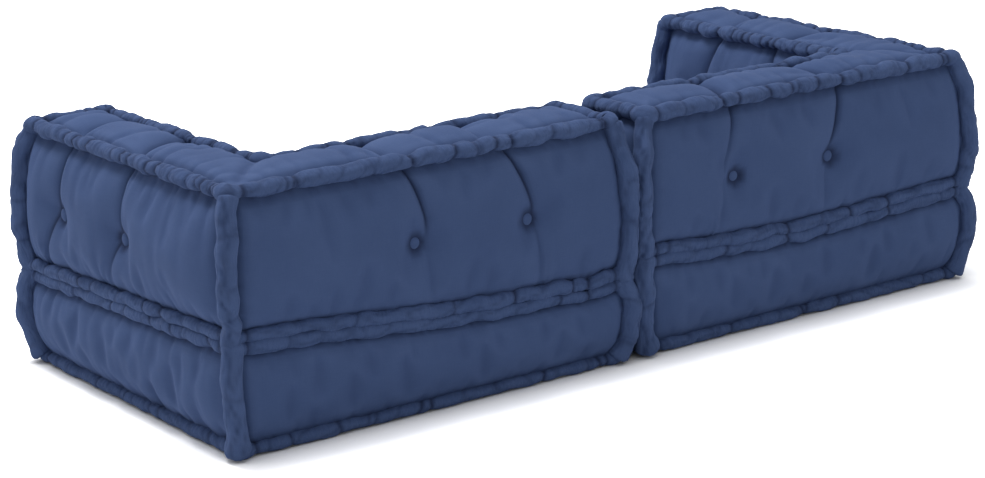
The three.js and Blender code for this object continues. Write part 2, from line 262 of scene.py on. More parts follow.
def smooth(value):
    t = np.clip(value, 0, 1)
    return t * t * (3 - 2 * t)


def waves(values, size, dice):
    """A smooth random wave along a length, about -1 to 1, with bumps of about one size."""
    total = np.zeros_like(values)
    for share in WAVE_SIZES:
        length = size * share * dice.uniform(0.85, 1.15)
        total += np.sin(values * 2 * np.pi / length + dice.uniform(0, ANY_TURN))
    return total / WAVE_HEIGHT


def barrel(share):
    """How far a side stands out between its two rolls, from 0 at each roll to 1 half way."""
    return 1 - np.abs(2 * np.clip(share, 0, 1) - 1) ** BARREL_POWER


class Cushion:
    """The sizes of one cushion in the plan of its module."""

    def __init__(self, name, floor, top, insets, swell, walled):
        self.name, self.floor, self.top, self.insets = name, floor, top, insets
        self.swell, self.walled = swell, walled

    def block(self):
        lowest = (EDGE_INSET, EDGE_INSET, self.floor)
        if not self.walled:
            return block(lowest, (LENGTH - EDGE_INSET, DEPTH - EDGE_INSET, self.top))
        return block(lowest, (INNER, INNER, self.top), [(0, LENGTH - WALL), (1, DEPTH - WALL)])

    def edges(self, axis):
        """Where the block has edges along an axis."""
        if axis == 2:
            return [self.floor, self.top]
        far = (LENGTH, DEPTH)[axis] - EDGE_INSET
        return [EDGE_INSET, INNER, far] if self.walled else [EDGE_INSET, far]

    def planes(self, points):
        """Which sides of the block each point lies on."""
        x, y, z = points.T
        on = {
            "back": np.abs(y - EDGE_INSET) < NEAR,
            "arm": np.abs(x - EDGE_INSET) < NEAR,
            "open": np.abs(x - LENGTH + EDGE_INSET) < NEAR,
            "front": np.abs(y - DEPTH + EDGE_INSET) < NEAR,
            "top": np.abs(z - self.top) < NEAR,
            "bottom": np.abs(z - self.floor) < NEAR,
        }
        if self.walled:
            on["inner_back"] = (np.abs(y - INNER) < NEAR) & (x > INNER - NEAR)
            on["inner_arm"] = (np.abs(x - INNER) < NEAR) & (y > INNER - NEAR)
        return on

    def inset(self, share):
        return self.insets[0] + (self.insets[1] - self.insets[0]) * share

    def outline(self):
        """The corners of the block seen from above, as a loop."""
        far_x, far_y = LENGTH - EDGE_INSET, DEPTH - EDGE_INSET
        if not self.walled:
            return [(EDGE_INSET, EDGE_INSET), (far_x, EDGE_INSET), (far_x, far_y), (EDGE_INSET, far_y)]
        return [(EDGE_INSET, EDGE_INSET), (far_x, EDGE_INSET), (far_x, INNER),
                (INNER, INNER), (INNER, far_y), (EDGE_INSET, far_y)]


def along_side(name, points):
    return points[:, 0] if NORMALS[name][0] == 0 else points[:, 1]


def side_reach(cushion, name, points):
    """How far along a side each point lies from the nearer of the side's upright edges."""
    along = along_side(name, points)
    start = EDGE_INSET
    end = (LENGTH if NORMALS[name][0] == 0 else DEPTH) - EDGE_INSET
    if cushion.walled and name.startswith("inner"):
        start = INNER
    if cushion.walled and name in ("open", "front"):
        end = INNER
    return np.minimum(along - start, end - along)


def stuffed(cushion, points):
    """The block's points, moved to the plump shape."""
    on = cushion.planes(points)
    share = (points[:, 2] - cushion.floor) / (cushion.top - cushion.floor)
    plain = cushion.inset(share)
    corner = plain - CORNER_BOW * barrel(share)
    moved = points.copy()
    for axis, size in ((0, LENGTH), (1, DEPTH)):
        place = points[:, axis]
        if cushion.walled:
            near = corner + (WALL - plain - corner) * (place - EDGE_INSET) / SPAN
            far = (WALL - plain + (size - corner - WALL + plain) * (place - INNER)
                   / (size - EDGE_INSET - INNER))
            moved[:, axis] = np.where(place < INNER, near, far)
        else:
            moved[:, axis] = corner + (size - 2 * corner) * (place - EDGE_INSET) / (size - 2 * EDGE_INSET)
    for name, mask in on.items():
        if name not in ("top", "bottom"):
            reach = side_reach(cushion, name, points)
            out = (cushion.swell - CORNER_BOW) * barrel(share) * smooth(reach / PLUMP_WITHIN)
            moved[mask] += np.outer(out[mask], NORMALS[name])
    return moved, on


def top_reach(cushion, points):
    """How far each point of a top lies from the nearest edge of that top."""
    x, y = points[:, 0] - EDGE_INSET, points[:, 1] - EDGE_INSET
    far_x, far_y = LENGTH - EDGE_INSET - points[:, 0], DEPTH - EDGE_INSET - points[:, 1]
    reach = np.minimum(np.minimum(x, y), np.minimum(far_x, far_y))
    if cushion.walled:
        over_x, over_y = INNER - points[:, 0], INNER - points[:, 1]
        wall_reach = np.maximum(over_x, over_y)
        corner = (over_x > 0) & (over_y > 0)
        wall_reach[corner] = np.hypot(over_x, over_y)[corner]
        reach = np.minimum(reach, wall_reach)
    return reach


# %% [markdown]
# The thread that forms a roll runs through the cloth just beside it, and draws the face into a
# groove there. The groove's depth changes a little from stitch to stitch.

# %% Stitch grooves
GROOVE = 0.0065
GROOVE_WIDTH = 0.0055
GROOVE_UNDER_ROLL = 0.008
CORNER_ROLL_SHARE = 0.9
STITCH_PITCH, STITCH_UNEVEN = 0.033, 0.3
SEWN_WITHIN = 0.0034


def roll_gap(cushion, name, points):
    """How far each point of a face lies from the nearest roll, less than 0 under it."""
    if name == "top":
        return top_reach(cushion, points) - cushion.high_roll
    return np.minimum.reduce([
        points[:, 2] - cushion.floor - cushion.low_roll,
        cushion.top - points[:, 2] - cushion.high_roll,
        side_reach(cushion, name, points) - CORNER_ROLL * CORNER_ROLL_SHARE,
    ])


def grooved(cushion, on, points, moved, dice):
    """Draws the faces in beside the rolls and marks the row of points that the thread holds."""
    shaped = moved.copy()
    sewn = np.zeros(len(points), bool)
    for name, mask in on.items():
        if name == "bottom":
            continue
        gap = roll_gap(cushion, name, points)
        axis = int(np.argmax(np.abs(NORMALS[name])))
        uneven = 1 + STITCH_UNEVEN * waves(points.sum(1), STITCH_PITCH, dice)
        under = GROOVE * np.clip(1 + gap / GROOVE_UNDER_ROLL, 0, 1)
        beside = GROOVE * np.exp(-(gap / GROOVE_WIDTH) ** 2)
        pull = np.where(gap < 0, under, beside)
        shaped[:, axis] -= NORMALS[name][axis] * np.where(mask, pull * uneven, 0)
        sewn |= mask & (np.abs(gap) < SEWN_WITHIN)
    return shaped, sewn


# %% [markdown]
# Long folds are sewn over the back and the arm: each runs from a button up the outer face, over the
# top and down the inner face, and the top swells into puffs between them. A fold is a line on the
# belt of cloth that goes round the wall. The nearest row of the grid is moved onto that line, so
# that the fold is one clean valley and not a row of steps. Each point of a line has a part of the
# belt, a height or a share of the top, a place along the wall and a depth.

# %% Folds
FOLD_PULL = 0.030
FOLD_WIDTH = 0.0042
FOLD_DRAW, FOLD_DRAW_WIDTH = 0.45, 0.018
FOLD_FULL_DEPTH = 0.008
VALLEY_WIDTH = 0.020
CREASE_SHARE, VALLEY_SHARE = 0.68, 0.32
SEWN_DEPTH = 0.007


def belt(place, part):
    """A height on the outer face, a share of the top or a height on the inner face, as one length."""
    if part == "out":
        return place
    return TOP_AXIS + place * SPAN if part == "top" else TOP_AXIS + SPAN + TOP_AXIS - place


def belt_of(wall, points, on):
    """Each point's length on the belt round one wall, and whether it lies on that belt."""
    across = points[:, 1] if wall == "back" else points[:, 0]
    length = np.where(on["top"], TOP_AXIS + across - EDGE_INSET, points[:, 2])
    inner = on["inner_" + wall] & ~on["top"]
    length[inner] = TOP_AXIS + SPAN + TOP_AXIS - points[inner, 2]
    on_top = on["top"] & (across < INNER + NEAR)
    return length, on[wall] | on["inner_" + wall] | on_top


FOLDS = {
    ("left", "back"): [
        [("out", 0.165, 0.336, 0.002), ("out", 0.235, 0.330, 0.004), ("out", 0.272, 0.333, 0.009),
         ("out", 0.294, 0.333, 0.014), ("out", 0.335, 0.326, 0.016), ("out", 0.372, 0.316, 0.011),
         ("top", 0.5, 0.303, 0.016), ("in", 0.372, 0.303, 0.011), ("in", 0.26, 0.320, 0.008),
         ("in", 0.17, 0.322, 0.0)],
        [("out", 0.165, 0.530, 0.004), ("out", 0.243, 0.520, 0.008), ("out", 0.281, 0.517, 0.014),
         ("out", 0.328, 0.505, 0.016), ("out", 0.372, 0.492, 0.011), ("top", 0.5, 0.462, 0.016),
         ("in", 0.372, 0.450, 0.011), ("in", 0.26, 0.505, 0.008), ("in", 0.17, 0.52, 0.0)],
    ],
    ("left", "arm"): [
        [("out", 0.165, 0.350, 0.003), ("out", 0.216, 0.330, 0.008), ("out", 0.262, 0.306, 0.017),
         ("out", 0.333, 0.300, 0.017), ("out", 0.372, 0.300, 0.011), ("top", 0.5, 0.330, 0.016),
         ("in", 0.372, 0.350, 0.011), ("in", 0.26, 0.315, 0.010), ("in", 0.17, 0.31, 0.0)],
        [("out", 0.165, 0.545, 0.004), ("out", 0.205, 0.530, 0.009), ("out", 0.262, 0.494, 0.017),
         ("out", 0.340, 0.483, 0.017), ("out", 0.372, 0.484, 0.011), ("top", 0.5, 0.500, 0.010),
         ("in", 0.372, 0.500, 0.011), ("in", 0.26, 0.495, 0.010), ("in", 0.17, 0.49, 0.0)],
    ],
    ("right", "back"): [
        [("out", 0.165, 0.322, 0.002), ("out", 0.235, 0.326, 0.004), ("out", 0.275, 0.316, 0.012),
         ("out", 0.316, 0.303, 0.015), ("out", 0.372, 0.288, 0.011), ("top", 0.5, 0.300, 0.016),
         ("in", 0.372, 0.310, 0.011), ("in", 0.26, 0.320, 0.008), ("in", 0.17, 0.322, 0.0)],
        [("out", 0.165, 0.545, 0.000), ("out", 0.225, 0.535, 0.003), ("out", 0.283, 0.534, 0.007),
         ("out", 0.320, 0.524, 0.008), ("out", 0.345, 0.516, 0.012), ("out", 0.372, 0.513, 0.011),
         ("top", 0.5, 0.500, 0.016),
         ("in", 0.372, 0.490, 0.011), ("in", 0.26, 0.515, 0.008), ("in", 0.17, 0.52, 0.0)],
    ],
    ("right", "arm"): [
        [("out", 0.165, 0.345, 0.003), ("out", 0.216, 0.325, 0.006), ("out", 0.262, 0.310, 0.012),
         ("out", 0.372, 0.296, 0.011), ("top", 0.5, 0.310, 0.016), ("in", 0.372, 0.330, 0.011),
         ("in", 0.26, 0.312, 0.012), ("in", 0.17, 0.305, 0.0)],
        [("out", 0.165, 0.520, 0.003), ("out", 0.216, 0.510, 0.006), ("out", 0.262, 0.500, 0.012),
         ("out", 0.372, 0.488, 0.011), ("top", 0.5, 0.470, 0.016), ("in", 0.372, 0.460, 0.011),
         ("in", 0.26, 0.490, 0.012), ("in", 0.17, 0.50, 0.0)],
    ],
}


class Fold:
    """One sewn fold: where it runs along the wall and how deep it is, at each length of the belt."""

    def __init__(self, wall, line, columns):
        self.wall = wall
        self.lengths = [belt(place, part) for part, place, _, _ in line]
        self.places = [along for _, _, along, _ in line]
        self.depths = [depth for _, _, _, depth in line]
        self.column = columns[np.argmin(np.abs(columns - np.mean(self.places)))]

    def along(self, points):
        return points[:, 0 if self.wall == "back" else 1]

    def gaps(self, along):
        return np.abs(along - self.column)


def folds_of(side, points):
    """The folds of one module's wall, each on the grid's nearest row."""
    made = []
    for wall, axis in (("back", 0), ("arm", 1)):
        columns = np.unique(np.round(points[:, axis], 5))
        made += [Fold(wall, line, columns) for line in FOLDS[side, wall]]
    return made


def folded(folds, on, points, moved):
    """Moves the rows onto the fold lines, draws them in, and marks the points that are sewn."""
    shaped = moved.copy()
    sewn = np.zeros(len(points), bool)
    for fold in folds:
        axis, across = (0, 1) if fold.wall == "back" else (1, 0)
        length, on_belt = belt_of(fold.wall, points, on)
        gap = fold.gaps(points[:, axis])
        aim = np.interp(length, fold.lengths, fold.places) - fold.column
        depth = np.interp(length, fold.lengths, fold.depths)
        narrowing = FOLD_DRAW * np.exp(-(gap / FOLD_DRAW_WIDTH) ** 2) * smooth(depth / FOLD_FULL_DEPTH)
        toward = (fold.column - points[:, axis]) * narrowing
        shaped[:, axis] += np.where(on_belt, aim * np.exp(-(gap / FOLD_PULL) ** 2) + toward, 0)
        gap = gap * (1 - narrowing)
        crease, valley = np.exp(-gap / FOLD_WIDTH), np.exp(-(gap / VALLEY_WIDTH) ** 2)
        draw = depth * (CREASE_SHARE * crease + VALLEY_SHARE * valley)
        place = points[:, across]
        up = on["top"] & on_belt & (place > EDGE_INSET + NEAR) & (place < INNER - NEAR)
        outer, inner = on[fold.wall] & ~on["top"], on["inner_" + fold.wall] & ~on["top"]
        shaped[:, 2] -= np.where(up, draw, 0)
        shaped[:, across] += np.where(outer, draw, 0) - np.where(inner, draw, 0)
        sewn |= (up | outer | inner) & (gap < NEAR) & (depth > SEWN_DEPTH)
    return shaped, sewn


# %% [markdown]
# The top rises in a puff between each pair of folds, and the buttons draw the faces in.

# %% Puffs and tufts
TUFT_DISC = 0.0115
TUFT_REACH = 0.050
TUFT_PIT = 0.008
WIDE_SHARE, PIT_SHARE = 0.60, 0.40
PUFF_POWER = 2.0
FOLD_DIP, FOLD_DIP_WIDTH = 0.75, 0.018
DIAGONAL_DIP, DIAGONAL_WIDTH = 0.7, 0.014
REST_WITHIN = 0.010


def crowned(cushion, folds, on, points, moved):
    """Raises the top between its rolls, less along the folds that cross it."""
    inward = np.clip(top_reach(cushion, points) / cushion.crown_within, 0, 1)
    rise = cushion.crown * (1 - (1 - inward) ** PUFF_POWER)
    for fold in folds:
        _, on_belt = belt_of(fold.wall, points, on)
        dip = np.exp(-(fold.gaps(fold.along(points)) / FOLD_DIP_WIDTH))
        rise *= 1 - FOLD_DIP * np.where(on_belt, dip, 0)
    if cushion.walled:
        from_corner = np.abs(points[:, 0] - points[:, 1]) / math.sqrt(2)
        in_corner = (points[:, 0] < INNER) & (points[:, 1] < INNER)
        rise *= 1 - DIAGONAL_DIP * np.where(in_corner, np.exp(-from_corner / DIAGONAL_WIDTH), 0)
    raised = moved.copy()
    raised[:, 2] += np.where(on["top"], rise, 0)
    return raised


def tufted(cushion, on, moved):
    """Draws the faces in at the buttons, and marks the points under each button."""
    shaped = moved.copy()
    sewn = np.zeros(len(moved), bool)
    for name, place in cushion.tufts:
        axis = int(np.argmax(np.abs(NORMALS[name])))
        beside = [k for k in range(3) if k != axis]
        gap = np.linalg.norm(moved[:, beside] - place[beside], axis=1)
        past = np.maximum((moved[:, axis] - place[axis]) * NORMALS[name][axis], 0)
        past_disc = np.maximum(gap - TUFT_DISC, 0)
        wide, pit = np.exp(-past_disc / TUFT_REACH), np.exp(-past_disc / TUFT_PIT)
        pull = past * (WIDE_SHARE * wide + PIT_SHARE * pit)
        shaped[:, axis] -= NORMALS[name][axis] * np.where(on[name], pull, 0)
        sewn |= on[name] & (gap < TUFT_DISC)
    return shaped, sewn


def rested(cushion, on, points, moved):
    """Flattens what lies on the floor or on the cushion below, and marks it as held."""
    shaped = moved.copy()
    under = smooth(top_reach(cushion, points) / REST_WITHIN)
    shaped[:, 2] -= np.where(on["bottom"], cushion.sag * under, 0)
    held = on["bottom"].copy()
    if not cushion.walled:
        below_wall = (points[:, 0] < WALL) | (points[:, 1] < WALL)
        shaped[:, 2] += np.where(on["top"] & below_wall, cushion.lift * under, 0)
        held |= on["top"] & below_wall
    return shaped, held


# %% [markdown]
# Light can't reach into the creases. So each skin stores painted shade: how dark it is painted at
# each point, beside the rolls, along the folds and in a ring round each button.

# %% Painted shade in the creases
ROLL_SHADE, FOLD_SHADE, BUTTON_SHADE = 0.0032, 0.0045, 0.004
ROLL_SHADE_POWER = 1.2
SHADE_PITCH = 0.032
SHALLOW_FOLD, SHADED_FOLD = 0.004, 0.011


def shade_of(cushion, folds, on, points, shaped, dice):
    """How dark each point of a skin is painted, as painted shade, from 0 to 1."""
    shade = np.zeros(len(points))
    for name, mask in on.items():
        if name != "bottom":
            gap = np.maximum(roll_gap(cushion, name, points), 0)
            uneven = 0.68 + 0.32 * waves(points.sum(1), SHADE_PITCH, dice)
            beside = uneven * np.exp(-(gap / ROLL_SHADE) ** ROLL_SHADE_POWER)
            shade = np.maximum(shade, np.where(mask, beside, 0))
    for fold in folds:
        length, on_belt = belt_of(fold.wall, points, on)
        gap = fold.gaps(fold.along(points))
        depth = np.interp(length, fold.lengths, fold.depths)
        deep = smooth((depth - SHALLOW_FOLD) / SHADED_FOLD)
        shade = np.maximum(shade, np.where(on_belt, deep * np.exp(-(gap / FOLD_SHADE) ** 2), 0))
    for name, place in cushion.tufts:
        beside = [k for k in range(3) if NORMALS[name][k] == 0]
        gap = np.linalg.norm(shaped[:, beside] - place[beside], axis=1)
        ring = np.exp(-(np.maximum(gap - TUFT_DISC, 0) / BUTTON_SHADE) ** 2)
        shade = np.maximum(shade, np.where(on[name], ring, 0))
    return shade


# %% [markdown]
# Blender's cloth does the folding. The skin is a little larger than the shape that it is pinned
# to, so between the pins it bulges under pressure and the spare cloth gathers into pleats.

# %% Cloth simulation
FRAMES = 22
GATHERED_BY = 9
PRESSURE = 7.0
MOST_SWELL = 0.014
MOST_TAUT = 0.04


def simulated(thing, pins, spare, taut):
    """Blows up a mesh between its pins and gives back the points where they come to rest."""
    sewn = thing.vertex_groups.new(name="sewn")
    sewn.add(np.flatnonzero(pins).tolist(), 1.0, "REPLACE")
    tight = thing.vertex_groups.new(name="taut")
    for share in np.unique(taut[taut > 0]):
        tight.add(np.flatnonzero(taut == share).tolist(), float(share), "REPLACE")
    shape = points_of(thing.data)
    set_points(thing.data, shape * (1 + np.array(spare)))
    thing.shape_key_add(name="cut_cloth")
    gathering = thing.shape_key_add(name="sewn_shape")
    gathering.data.foreach_set("co", shape.astype(np.float32).ravel())
    for value, step in ((0, 1), (1, GATHERED_BY)):
        gathering.value = value
        gathering.keyframe_insert("value", frame=step)
    cloth = thing.modifiers.new("cloth", "CLOTH")
    settings = cloth.settings
    settings.quality = 4
    settings.mass = 0.15
    settings.air_damping = 2
    settings.tension_stiffness = 18
    settings.compression_stiffness = 18
    settings.shear_stiffness = 8
    settings.bending_stiffness = 16
    settings.vertex_group_mass = "sewn"
    settings.vertex_group_shrink = "taut"
    settings.shrink_min = 0
    settings.shrink_max = MOST_TAUT
    settings.use_pressure = True
    settings.uniform_pressure_force = PRESSURE
    settings.effector_weights.gravity = 0
    cloth.collision_settings.use_collision = False
    cloth.collision_settings.use_self_collision = False
    cloth.point_cache.frame_start, cloth.point_cache.frame_end = 1, FRAMES
    scene = bpy.context.scene
    scene.frame_start, scene.frame_end = 1, FRAMES
    for step in range(1, FRAMES + 1):
        scene.frame_set(step)
    posed = thing.evaluated_get(bpy.context.evaluated_depsgraph_get()).to_mesh()
    points = np.empty(len(posed.vertices) * 3)
    posed.vertices.foreach_get("co", points)
    thing.modifiers.remove(cloth)
    thing.shape_key_clear()
    scene.frame_set(1)
    return points.reshape(-1, 3)


# %% [markdown]
# The cloth is gathered where it is sewn to the rolls. Each gather is a small pleat that starts at
# the roll and fades out over the face. The arm's cloth is gathered most. For each side the table
# gives how far apart the gathers are, how deep and how long.

# %% Gathers
GATHERS = {
    ("back_cover", "arm"): (0.0135, 0.0060, 0.042),
    ("back_cover", "inner_arm"): (0.017, 0.0042, 0.055),
    ("back_cover", "inner_back"): (0.024, 0.0022, 0.045),
    ("back_cover", "back"): (0.026, 0.0026, 0.026),
    ("back_cover", "front"): (0.024, 0.0018, 0.040),
    ("back_cover", "open"): (0.026, 0.0016, 0.040),
    ("back_cover", "top"): (0.028, 0.0100, 0.040),
    ("base_cover", "arm"): (0.016, 0.0036, 0.080),
    ("base_cover", "front"): (0.018, 0.0014, 0.045),
    ("base_cover", "open"): (0.022, 0.0012, 0.040),
    ("base_cover", "back"): (0.030, 0.0019, 0.024),
}
FIRST_GATHER = 0.01
PLEAT_WIDTH, PLEAT_SPREAD, PLEAT_POWER = 0.0032, 0.07, 1.5
PLEAT_START = 0.008


def gathered(cushion, on, points, dice):
    """How far each point sinks into the gathers beside the rolls."""
    sink = np.zeros(len(points))
    for (cover, name), (pitch, depth, reach) in GATHERS.items():
        if cover != cushion.name:
            continue
        if name == "top":
            along = np.maximum(points[:, 0], points[:, 1])
            from_rolls = [top_reach(cushion, points)]
        else:
            along = along_side(name, points)
            from_rolls = [np.abs(points[:, 2] - edge) for edge in (cushion.floor, cushion.top)]
        for away in from_rolls:
            place = EDGE_INSET + FIRST_GATHER
            end = (LENGTH if NORMALS[name][0] == 0 else DEPTH) - EDGE_INSET
            while place < end:
                long = reach * dice.uniform(0.4, 1.5)
                gap = np.abs(along - place - dice.uniform(-0.25, 0.25) * away)
                width = PLEAT_WIDTH + PLEAT_SPREAD * away
                pleat = depth * dice.uniform(0.3, 1.3) * np.exp(-(gap / width) ** PLEAT_POWER)
                pleat *= np.exp(-away / long)
                sink += np.where(on[name], pleat * smooth(away / PLEAT_START), 0)
                place += pitch * dice.uniform(0.5, 1.5)
    return sink


# %% [markdown]
# The whole module has slumped: the seam between its two cushions isn't level. These are the heights
# of the seam along the back and the arm, less the height that it would have in a level sofa.

# %% Slump
SLUMPS = {
    ("left", "back"): ([0.026, 0.188, 0.288, 0.358, 0.464, 0.575, 0.628, 0.689],
                       [0.020, 0.007, -0.003, -0.010, -0.016, -0.018, -0.022, -0.016]),
    ("left", "arm"): ([0.060, 0.156, 0.242, 0.332, 0.424, 0.521, 0.628],
                      [0.016, 0.013, 0.011, 0.008, 0.005, 0.001, -0.003]),
    ("right", "back"): ([0.022, 0.161, 0.382, 0.550, 0.660], [0.009, 0.003, -0.006, -0.001, 0.008]),
    ("right", "arm"): ([0.060, 0.332, 0.628], [0.008, 0.002, -0.002]),
}
SLUMP_TOP = 0.245
FACE_DEPTH = 0.03
LOWEST = 0.0005


def slumped(side, points):
    """Points with the seam's ups and downs, which fade out toward floor, top and inner faces."""
    x, y, z = points.T
    near_back = smooth(1 - (y - FACE_DEPTH) / (WALL - FACE_DEPTH))
    near_arm = smooth(1 - (x - FACE_DEPTH) / (WALL - FACE_DEPTH))
    by_back = np.interp(x, *SLUMPS[side, "back"])
    by_arm = np.interp(y, *SLUMPS[side, "arm"])
    total = near_back + near_arm + TINY
    drop = (by_back * near_back + by_arm * near_arm) / total * np.maximum(near_back, near_arm)
    level = np.where(z < SEAM, z / SEAM, (SLUMP_TOP - z) / (SLUMP_TOP - SEAM))
    lowered = points.copy()
    lowered[:, 2] += drop * smooth(level)
    return lowered


# %% [markdown]
# Each skin is made in this order: block, stuffing, puffs, stitch grooves, folds, buttons, rest,
# simulation, painted shade, gathers and slump. The slump comes as it goes from the plan of its
# module to its place in the frame.

# %% Skins
def set_cloth_map(mesh):
    """Each face's corners get their place on the flat cloth, in metres, from the block's sides."""
    layer = mesh.loops.layers.uv.new("cloth")
    for face in mesh.faces:
        face.normal_update()
        axis = max(range(3), key=lambda k: abs(face.normal[k]))
        across, up = ((1, 2), (0, 2), (0, 1))[axis]
        for loop in face.loops:
            place = loop.vert.co
            loop[layer].uv = (place[across], place[up])


def normals_of(mesh):
    normals = np.empty(len(mesh.vertices) * 3)
    mesh.vertex_normals.foreach_get("vector", normals)
    return normals.reshape(-1, 3)


def place_piece(side, thing):
    """Moves a piece from its module's plan to the frame and makes it ride on that module."""
    points = slumped(side, points_of(thing.data))
    points[:, 2] = np.maximum(points[:, 2], LOWEST)
    set_points(thing.data, to_frame(side, points))
    if side == "right":
        thing.data.flip_normals()
    thing.data.shade_smooth()
    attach(thing, f"{side}_module")


def new_thing(name, mesh):
    data = bpy.data.meshes.new(name)
    mesh.to_mesh(data)
    mesh.free()
    thing = bpy.data.objects.new(name, data)
    bpy.context.scene.collection.objects.link(thing)
    return thing


def make_skin(side, cushion, dice):
    """One cushion's cloth skin."""
    began = time.time()
    grid = cushion.block()
    for axis in range(3):
        places = tightened(np.array([v.co[axis] for v in grid.verts]), cushion.edges(axis))
        for vert, place in zip(grid.verts, places):
            vert.co[axis] = place
    set_cloth_map(grid)
    thing = new_thing(f"{side}_{cushion.name}_skin", grid)
    mesh = thing.data
    flat = points_of(mesh)
    folds = folds_of(side, flat) if cushion.walled else []
    shape, on = stuffed(cushion, flat)
    shape = crowned(cushion, folds, on, flat, shape)
    shape, stitched = grooved(cushion, on, flat, shape, dice)
    shape, creased = folded(folds, on, flat, shape)
    shape, buttoned = tufted(cushion, on, shape)
    shape, resting = rested(cushion, on, flat, shape)
    edges = sum(mask.astype(int) for mask in on.values()) > 1
    pins = edges | stitched | creased | buttoned | resting
    set_points(mesh, shape)
    taut = np.zeros(len(flat))
    for name, share in cushion.taut.items():
        taut[on[name]] = share
    move = simulated(thing, pins, cushion.spare, taut) - shape
    length = np.linalg.norm(move, axis=1)
    move *= (np.minimum(length, MOST_SWELL) / np.maximum(length, TINY))[:, None]
    shape += move
    set_points(mesh, shape)
    print(f"{thing.name}: cloth moved {length.mean() * 1000:.1f} mm, most {length.max() * 1000:.1f}")
    # Painted shade: how dark the cloth is painted in its creases, stored for the material.
    dark = mesh.attributes.new("shade", "FLOAT", "POINT")
    dark.data.foreach_set("value", shade_of(cushion, folds, on, flat, shape, dice).astype(np.float32))
    normals = normals_of(mesh)
    shape -= normals * gathered(cushion, on, flat, dice)[:, None]
    set_points(mesh, shape)
    print(f"{thing.name}: {len(mesh.polygons)} faces in {time.time() - began:.1f} s")
    return thing


# %% [markdown]
# Under the skin is the stuffing, a block of felted cotton. Wadding is too thick to follow a tight
# crease, so its sides stay smooth, and they stand back far enough for the deepest fold to pass.

# %% Cores
CORE_INSET = 0.027
CORE_LOW, CORE_HIGH = 0.006, 0.025


def make_core(side, cushion):
    """The stuffing of one cushion, inside its skin."""
    grid = cushion.block()
    thing = new_thing(f"{side}_{cushion.name.replace('cover', 'core')}_wadding", grid)
    flat = points_of(thing.data)
    insets = [inset + CORE_INSET for inset in cushion.insets]
    inner = Cushion(cushion.name, cushion.floor, cushion.top, insets, cushion.swell, cushion.walled)
    shape, _ = stuffed(inner, flat)
    share = (flat[:, 2] - cushion.floor) / (cushion.top - cushion.floor)
    shape[:, 2] += CORE_LOW - share * (CORE_LOW + CORE_HIGH)
    set_points(thing.data, shape)
    return thing


# %% [markdown]
# The rolled edge is what tells a hand-sewn mattress from a plain cushion: along every edge a thick
# welt of cloth and stuffing is stitched through, and the stitches pinch it into small bulges. Each
# welt is a long strip of squares, wrapped round a path into a tube. Where the thread bites, the
# tube's radius has a sharp nick.

# %% Rolls
RING_STEP = 0.0028
RING_SIDES = 18
CORNER_ROUNDING = 0.0045
FINE_STEP = 0.001
KERNEL = 12
CREASE_WAVES, CREASE_THINNESS = 7, 0.75
CREASE_DEPTH, PAINTED_CRUMPLE_SHADE = 0.055, 0.30
LOBES = (1, 2, 3)
THINNEST = 0.35
TIP_LENGTH = 0.007
LOOP_ENDS_FADE = 0.03


def rounded(path, closed):
    """A path with soft corners and evenly spaced points, and the length up to each point."""
    fine = []
    stops = list(path) + ([path[0]] if closed else [])
    for a, b in zip(stops, stops[1:]):
        count = max(2, int(np.linalg.norm(b - a) / FINE_STEP))
        fine += [a + (b - a) * k / count for k in range(count)]
    fine = np.array(fine if closed else fine + [stops[-1]])
    reach = np.arange(-KERNEL, KERNEL + 1) * FINE_STEP
    weights = np.exp(-(reach / CORNER_ROUNDING) ** 2)
    weights /= weights.sum()
    padded = np.pad(fine, ((KERNEL, KERNEL), (0, 0)), mode="wrap" if closed else "edge")
    soft = np.stack([np.convolve(padded[:, k], weights, "valid") for k in range(3)], -1)
    if closed:
        soft = np.vstack([soft, soft[:1]])
    lengths = np.concatenate([[0], np.cumsum(np.linalg.norm(np.diff(soft, axis=0), axis=1))])
    count = round(lengths[-1] / RING_STEP)
    even = np.linspace(0, lengths[-1], count + 1)
    return np.stack([np.interp(even, lengths, soft[:, k]) for k in range(3)], -1), even


def crumples(lengths, turn, size, dice):
    """A random pattern of thin creases over a tube, 1 in a crease and 0 between."""
    total = 0
    for _ in range(CREASE_WAVES):
        along = lengths[:, None] * 2 * np.pi / (size * dice.uniform(0.6, 1.6))
        total = total + np.sin(along + dice.integers(-2, 3) * turn[None, :] + dice.uniform(0, ANY_TURN))
    return np.exp(-(total / CREASE_THINNESS) ** 2)


def ways_across(centres, closed, outward):
    """The way out of a roll and the way across it, at each point of its path."""
    tangents = np.gradient(centres, axis=0)
    if closed:
        tangents[0] = tangents[-1] = centres[1] - centres[-2]
    tangents /= np.linalg.norm(tangents, axis=1)[:, None]
    if outward is None:
        out = np.cross(tangents, (0, 0, 1))
        out /= np.linalg.norm(out, axis=1)[:, None]
        return out, np.tile((0.0, 0.0, 1.0), (len(out), 1))
    up = np.cross(outward, tangents)
    up /= np.linalg.norm(up, axis=1)[:, None]
    return np.cross(tangents, up), up


def unround(size, turn, lengths, fade, amount, swing, wave, dice):
    """Puts a tube out of round, by a pattern that turns slowly along it."""
    for turns in LOBES:
        phase = swing * (waves(lengths, wave, dice) * fade)[:, None]
        size += amount * np.cos(turns * turn[None, :] + phase)


def press_ridge(size, turn, lengths, depth, width, dice):
    """Presses a long fold into a tube and gives each point's angle from it."""
    middle = 0.45 * waves(lengths, 0.12, dice)[:, None]
    off = np.angle(np.exp(1j * (turn[None, :] - middle)))
    size -= depth * np.exp(-(off / width) ** 2) * (0.6 + 0.4 * waves(lengths, 0.09, dice)[:, None])
    return off


def gap_along(lengths, place, total, closed):
    """How far each length lies from a place, the shorter way round on a closed roll."""
    away = np.abs(lengths - place)
    return np.minimum(away, np.abs(total - away)) if closed else away


